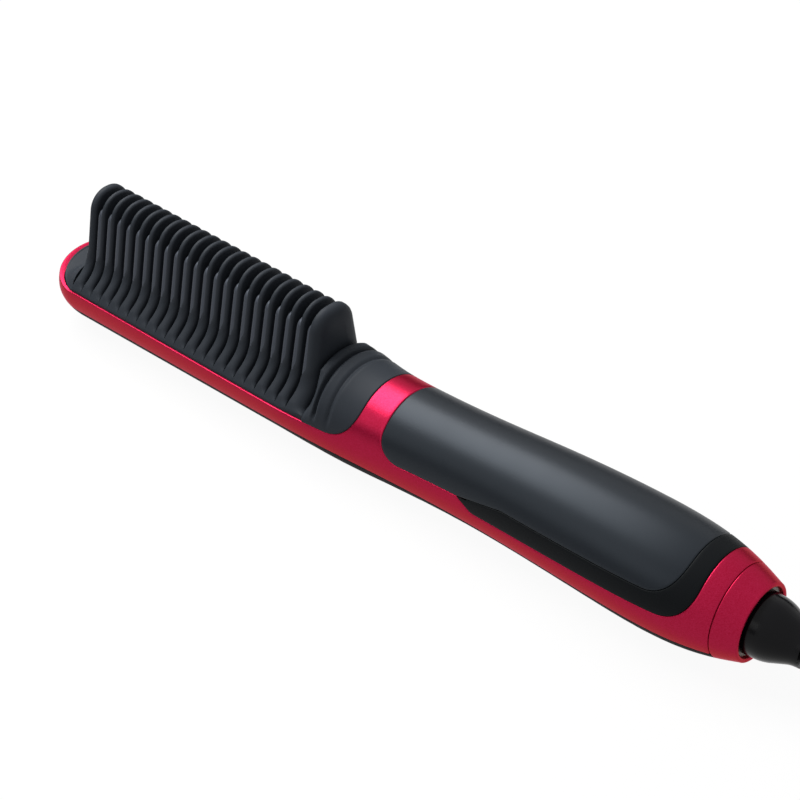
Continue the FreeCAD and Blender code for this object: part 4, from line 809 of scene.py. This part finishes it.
def floor_paper(tone, shadow_share):
    """White paper that keeps a faint shadow, throws little light back and is clear from below."""
    material = bpy.data.materials.new("floor_paper")
    material.use_nodes = True
    nodes, links = material.node_tree.nodes, material.node_tree.links
    nodes.remove(nodes["Principled BSDF"])
    glow = nodes.new("ShaderNodeEmission")
    lit = nodes.new("ShaderNodeBsdfDiffuse")
    lit.inputs["Color"].default_value = coloured((0.95, 0.95, 0.95))
    shown = nodes.new("ShaderNodeMixShader")
    shown.inputs["Fac"].default_value = shadow_share
    links.new(glow.outputs["Emission"], shown.inputs[1])
    links.new(lit.outputs["BSDF"], shown.inputs[2])
    bounce = nodes.new("ShaderNodeBsdfDiffuse")
    bounce.inputs["Color"].default_value = coloured((tone, tone, tone))
    choice = nodes.new("ShaderNodeMixShader")
    links.new(seen_ray(nodes, links), choice.inputs["Fac"])
    links.new(bounce.outputs["BSDF"], choice.inputs[1])
    links.new(shown.outputs["Shader"], choice.inputs[2])
    side = nodes.new("ShaderNodeNewGeometry")
    clear = nodes.new("ShaderNodeBsdfTransparent")
    paper = nodes.new("ShaderNodeMixShader")
    links.new(side.outputs["Backfacing"], paper.inputs["Fac"])
    links.new(choice.outputs["Shader"], paper.inputs[1])
    links.new(clear.outputs["BSDF"], paper.inputs[2])
    links.new(paper.outputs["Shader"], nodes["Material Output"].inputs["Surface"])
    return material


def dress(material, *names):
    """Give CAD nodes a material."""
    for name in names:
        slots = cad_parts[name].data.materials
        slots.clear()
        slots.append(material)


# Stage, in metres

FLOOR_REACH = 6.0
# Just under the object, so that the floor doesn't fight with its underside
FLOOR_LEVEL = -0.0002
FLAG_FOOT = 0.002
# Dark cards: name, first and last corner in plan
FLAGS = [("back_flag", (-0.85, -0.10), (0.15, 0.85)), ("front_flag", (-0.75, -0.30), (-0.02, -0.75))]
CAMERA_PLACE = (0.28975, -0.3111, 0.3299)
CAMERA_RIGHT = (0.7440, 0.6682, 0.0)
CAMERA_BACK = (0.5397, -0.6009, 0.5895)


def white_sky(strength):
    """World that is white to look at and lights the object at the given strength."""
    world = bpy.data.worlds.new("studio")
    bpy.context.scene.world = world
    world.use_nodes = True
    nodes, links = world.node_tree.nodes, world.node_tree.links
    sky = nodes["Background"]
    sky.inputs["Color"].default_value = (1.0, 1.0, 1.0, 1.0)
    sky.inputs["Strength"].default_value = strength
    white = nodes.new("ShaderNodeBackground")
    white.inputs["Color"].default_value = (1.0, 1.0, 1.0, 1.0)
    choice = nodes.new("ShaderNodeMixShader")
    links.new(seen_ray(nodes, links), choice.inputs["Fac"])
    links.new(sky.outputs["Background"], choice.inputs[1])
    links.new(white.outputs["Background"], choice.inputs[2])
    links.new(choice.outputs["Shader"], nodes["World Output"].inputs["Surface"])


def stage_card(name, corners, material):
    """Flat card with four corners and one material, linked into the scene."""
    mesh = bpy.data.meshes.new(name)
    mesh.from_pydata(corners, [], [(0, 1, 2, 3)])
    mesh.materials.append(material)
    card = bpy.data.objects.new(name, mesh)
    bpy.context.scene.collection.objects.link(card)
    return card


def softbox(name, place, aim, size, power):
    """Rectangular lamp at a place, turned towards its aim."""
    light = bpy.data.lights.new(name, "AREA")
    light.shape = "RECTANGLE"
    light.size, light.size_y = size
    light.energy = power
    lamp = bpy.data.objects.new(name, light)
    bpy.context.scene.collection.objects.link(lamp)
    lamp.location = place
    lamp.rotation_mode = "QUATERNION"
    lamp.rotation_quaternion = (Vector(aim) - Vector(place)).to_track_quat("-Z", "Y")


def photo_camera(focal_length):
    """Camera at its place; its upright is the cross product of its backward and its right direction."""
    lens = bpy.data.cameras.new("photo_camera")
    lens.sensor_width = 36.0
    lens.lens = focal_length
    lens.clip_start = 0.01
    camera = bpy.data.objects.new("photo_camera", lens)
    bpy.context.scene.collection.objects.link(camera)
    right = Vector(CAMERA_RIGHT)
    back = Vector(CAMERA_BACK)
    turn = Matrix((right, back.cross(right), back)).transposed().to_4x4()
    camera.matrix_world = Matrix.Translation(Vector(CAMERA_PLACE)) @ turn
    bpy.context.scene.camera = camera


# Settings

def colour_choice(name, description, default):
    """Property for a colour in linear light."""
    return bpy.props.FloatVectorProperty(
        name=name, description=description, default=default, size=3, min=0.0, max=1.0, subtype="COLOR")


class CombStudioSettings(bpy.types.PropertyGroup):
    focal_length: bpy.props.FloatProperty(
        name="Focal length", description="Camera lens in millimetres", default=83.25)
    floor_tone: bpy.props.FloatProperty(
        name="Floor tone", description="Lightness of the floor to bounced light", default=0.3,
        min=0.0, max=1.0, subtype="FACTOR")
    shadow_share: bpy.props.FloatProperty(
        name="Shadow", description="How much of the shadow shows on the floor", default=0.06,
        min=0.0, max=1.0, subtype="FACTOR")
    sky_strength: bpy.props.FloatProperty(
        name="Sky strength", description="Soft light from all round", default=0.36, min=0.0)
    key_power: bpy.props.FloatProperty(
        name="Key light", description="Power of the main softbox", default=10.0, unit="POWER")
    fill_power: bpy.props.FloatProperty(
        name="Fill light", description="Power of the softbox on the near side", default=0.9, unit="POWER")
    flag_height: bpy.props.FloatProperty(
        name="Flags", description="Height of the dark cards that keep reflections dark", default=0.2,
        unit="LENGTH")


class CombSurfaceSettings(bpy.types.PropertyGroup):
    edge_radius: bpy.props.FloatProperty(
        name="Edge radius", description="Rounding of the moulded edges", default=0.0004, unit="LENGTH")
    seam_depth: bpy.props.FloatProperty(
        name="Seam depth", description="How far edges run in under the next piece", default=0.0008,
        unit="LENGTH")
    wall_depth: bpy.props.FloatProperty(
        name="Gap depth", description="Depth of the gaps between the ribs", default=0.006, unit="LENGTH")


class CombColourSettings(bpy.types.PropertyGroup):
    casing: colour_choice("Casing", "Red of the casing and its collar", (0.31, 0.002, 0.026))
    flake: colour_choice("Pearl flakes", "Flakes in the casing's red", (0.46, 0.02, 0.08))
    cover: colour_choice("Grip cover", "Dark cover on top of the grip", (0.0075, 0.0095, 0.0125))
    comb: colour_choice("Comb cover", "Ribs, skirt and neck of the comb", (0.028, 0.033, 0.041))
    inlay: colour_choice("Inlay", "Band round the grip cover", (0.003, 0.004, 0.005))
    back: colour_choice("Back cover", "Lower shell and the heater's carrier", (0.003, 0.003, 0.004))
    fins: colour_choice("Fins", "Coated fins between the ribs", (0.058, 0.066, 0.083))
    moulding: colour_choice("Gloss parts", "Control panel and strain relief", (0.003, 0.003, 0.004))
    lead: colour_choice("Lead", "Mains lead, its tie and plug", (0.006, 0.006, 0.007))
    button: colour_choice("Buttons", "Three buttons on the underside", (0.16, 0.165, 0.175))


class CombCordSettings(bpy.types.PropertyGroup):
    diameter: bpy.props.FloatProperty(
        name="Diameter", description="Thickness of the lead", default=0.0056, unit="LENGTH")
    points_per_turn: bpy.props.IntProperty(
        name="Points per turn", description="Control points in each turn of the hank", default=24, min=12)


# Operators

class COMB_OT_materials(bpy.types.Operator):
    """Make the materials and put them on the nodes that keep their own surfaces"""
    bl_idname = "comb.materials"
    bl_label = "Make materials"

    def execute(self, context):
        grain_group()
        flake_group()
        colours = context.scene.comb_colours
        red = pearl("red_pearl", colours.casing, colours.flake, 0.4, 0.37, 0.85, 0.09, tint=(1.0, 0.22, 0.34))
        cover = plastic("satin_cover", colours.cover, 0.4, 3000.0, 0.08, specular=0.27,
                        tint=(0.72, 0.82, 0.94))
        comb = plastic("satin_comb", colours.comb, 0.48, 3000.0, 0.05, specular=0.09)
        inlay = plastic("soft_inlay", colours.inlay, 0.5, 2200.0, 0.12, specular=0.08)
        back = plastic("satin_back", colours.back, 0.6, 2500.0, 0.15, specular=0.03)
        fins = plastic("coated_fins", colours.fins, 0.42, 1800.0, 0.06, metallic=0.3, specular=0.15)
        gloss = plastic("gloss_moulding", colours.moulding, 0.2, 1200.0, 0.04, 0.03, specular=0.12)
        cord = plastic("lead_sheath", colours.lead, 0.42, 1800.0, 0.08, specular=0.25)
        metal = plastic("bright_metal", (0.55, 0.56, 0.58), 0.34, 2500.0, 0.1, metallic=1.0)
        brass = plastic("yellow_brass", (0.72, 0.52, 0.22), 0.28, 2500.0, 0.08, metallic=1.0)
        ceramic = plastic("fired_ceramic", (0.72, 0.69, 0.62), 0.6, 1500.0, 0.2)
        mica = plastic("mica_flakes", (0.50, 0.43, 0.31), 0.45, 900.0, 0.3)
        white = plastic("white_insulation", (0.74, 0.74, 0.71), 0.5, 1500.0, 0.15)
        board = plastic("board_resin", (0.02, 0.14, 0.06), 0.35, 1200.0, 0.2)
        dark = plastic("component_case", (0.015, 0.015, 0.016), 0.5)
        button = plastic("button_plastic", colours.button, 0.4)
        lens = plastic("smoked_window", (0.012, 0.014, 0.018), 0.08, 1000.0, 0.02, 0.02, coat=0.6)
        display = plastic("display_face", (0.03, 0.035, 0.04), 0.3)
        dress(red, "main_casing", "end_collar")
        dress(cover, "handle_cover")
        dress(comb, "comb_cover")
        dress(inlay, "grip_inlay")
        dress(back, "back_cover", "heater_carrier")
        dress(fins, "heating_plate")
        dress(gloss, "control_panel", "strain_relief")
        dress(cord, "power_cord", "cord_coil", "plug_lead", "plug_body", "coil_tie")
        dress(metal, "clamp_plate", "heater_screws", "casing_screws", "pcb_screws", "swivel_clip")
        dress(brass, "slip_rings", "contact_springs", "plug_pins")
        dress(ceramic, "heater_elements", "swivel_bush")
        dress(mica, "mica_sheet")
        dress(white, "thermal_fuse", "temperature_sensor", "heater_leads", "mains_leads")
        dress(board, "circuit_board")
        dress(dark, "board_components", "tact_switches", "contact_block")
        dress(button, "minus_button", "plus_button", "power_button")
        dress(lens, "display_lens")
        dress(display, "display_module")
        return {"FINISHED"}


class COMB_OT_lead(bpy.types.Operator):
    """Lay the mains lead along its route as one smooth line"""
    bl_idname = "comb.lead"
    bl_label = "Lay the lead"

    def execute(self, context):
        settings = context.scene.comb_cord
        points = LEAD_START + hank_points(settings.points_per_turn) + LEAD_END
        line = bpy.data.curves.new("mains_lead", "CURVE")
        line.dimensions = "3D"
        spline = line.splines.new("NURBS")
        spline.points.add(len(points) - 1)
        weighted = np.column_stack((np.array(points) * MM, np.ones(len(points))))
        spline.points.foreach_set("co", weighted.ravel())
        spline.order_u = 3
        spline.use_endpoint_u = True
        spline.resolution_u = 4
        line.bevel_depth = settings.diameter / 2.0
        line.bevel_resolution = 4
        line.use_fill_caps = True
        line.materials.append(bpy.data.materials["lead_sheath"])
        lead = bpy.data.objects.new("mains_lead", line)
        context.scene.collection.objects.link(lead)
        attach(lead, "swivel")
        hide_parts("power_cord", "cord_coil", "plug_lead")
        return {"FINISHED"}


class COMB_OT_casing(bpy.types.Operator):
    """Make the red casing and the collar at its end"""
    bl_idname = "comb.casing"
    bl_label = "Make the casing"

    def execute(self, context):
        settings = context.scene.comb_surface
        edge = settings.edge_radius / MM
        seam = settings.seam_depth / MM
        red = bpy.data.materials["red_pearl"]
        store("red_shell", "casing", red, casing_grids(edge, seam), ["main_casing"])
        store("red_collar", "casing", red, collar_grids(edge, seam), ["end_collar"])
        return {"FINISHED"}


class COMB_OT_grip(bpy.types.Operator):
    """Make the dark cover of the grip and the black inlay round it"""
    bl_idname = "comb.grip"
    bl_label = "Make the grip"

    def execute(self, context):
        settings = context.scene.comb_surface
        edge = settings.edge_radius / MM
        seam = settings.seam_depth / MM
        store("grip_top", "casing", bpy.data.materials["satin_cover"], cover_grids(edge, seam),
              ["handle_cover"])
        store("grip_band", "casing", bpy.data.materials["soft_inlay"], inlay_grids(edge, seam),
              ["grip_inlay"])
        return {"FINISHED"}


class COMB_OT_comb(bpy.types.Operator):
    """Make the ribbed comb cover and the fins that stand in it"""
    bl_idname = "comb.comb"
    bl_label = "Make the comb"

    def execute(self, context):
        wall = context.scene.comb_surface.wall_depth / MM
        store("ribbed_cover", "casing", bpy.data.materials["satin_comb"], comb_grids(wall),
              ["comb_cover"])
        store("heat_fins", "casing", bpy.data.materials["coated_fins"], fin_grids(wall),
              ["heating_plate"])
        return {"FINISHED"}


class COMB_OT_stage(bpy.types.Operator):
    """Lay the floor, set the soft studio light and place the camera"""
    bl_idname = "comb.stage"
    bl_label = "Set the stage"

    def execute(self, context):
        settings = context.scene.comb_studio
        context.scene.view_settings.view_transform = "Standard"
        context.scene.view_settings.look = "None"
        white_sky(settings.sky_strength)
        corners = [(-FLOOR_REACH, -FLOOR_REACH), (FLOOR_REACH, -FLOOR_REACH),
                   (FLOOR_REACH, FLOOR_REACH), (-FLOOR_REACH, FLOOR_REACH)]
        stage_card("floor", [(*corner, FLOOR_LEVEL) for corner in corners],
                   floor_paper(settings.floor_tone, settings.shadow_share))
        softbox("key_softbox", (-0.50, 0.02, 0.75), (0.03, 0.0, 0.02), (0.8, 0.35), settings.key_power)
        softbox("fill_softbox", (-0.30, -0.80, 0.45), (0.0, 0.0, 0.02), (0.5, 0.4), settings.fill_power)
        felt = plastic("flag_felt", (0.012, 0.012, 0.012), 0.9, 300.0, 0.1, specular=0.05)
        high = settings.flag_height
        for name, first, last in FLAGS:
            corners = [(*first, FLAG_FOOT), (*last, FLAG_FOOT), (*last, high), (*first, high)]
            stage_card(name, corners, felt).visible_camera = False
        photo_camera(settings.focal_length)
        return {"FINISHED"}


class COMB_PT_panel(bpy.types.Panel):
    """Settings and steps of the comb"""
    bl_idname = "COMB_PT_panel"
    bl_label = "Straightening comb"
    bl_space_type = "VIEW_3D"
    bl_region_type = "UI"
    bl_category = "Comb"

    def draw(self, context):
        column = self.layout.column()
        scene = context.scene
        for group in (scene.comb_surface, scene.comb_colours, scene.comb_cord, scene.comb_studio):
            for name in group.bl_rna.properties.keys():
                if name not in {"rna_type", "name"}:
                    column.prop(group, name)
        for operator in OPERATORS:
            column.operator(operator.bl_idname)


SETTINGS = (CombStudioSettings, CombSurfaceSettings, CombColourSettings, CombCordSettings)
OPERATORS = (COMB_OT_materials, COMB_OT_lead, COMB_OT_casing, COMB_OT_grip, COMB_OT_comb, COMB_OT_stage)


def register():
    for item in SETTINGS + OPERATORS + (COMB_PT_panel,):
        bpy.utils.register_class(item)
    bpy.types.Scene.comb_studio = bpy.props.PointerProperty(type=CombStudioSettings)
    bpy.types.Scene.comb_surface = bpy.props.PointerProperty(type=CombSurfaceSettings)
    bpy.types.Scene.comb_colours = bpy.props.PointerProperty(type=CombColourSettings)
    bpy.types.Scene.comb_cord = bpy.props.PointerProperty(type=CombCordSettings)


def unregister():
    del bpy.types.Scene.comb_cord
    del bpy.types.Scene.comb_colours
    del bpy.types.Scene.comb_surface
    del bpy.types.Scene.comb_studio
    for item in reversed(SETTINGS + OPERATORS + (COMB_PT_panel,)):
        bpy.utils.unregister_class(item)


def main():
    register()
    bpy.ops.comb.materials()
    bpy.ops.comb.lead()
    bpy.ops.comb.casing()
    bpy.ops.comb.grip()
    bpy.ops.comb.comb()
    bpy.ops.comb.stage()


if __name__ == "__main__":
    main()
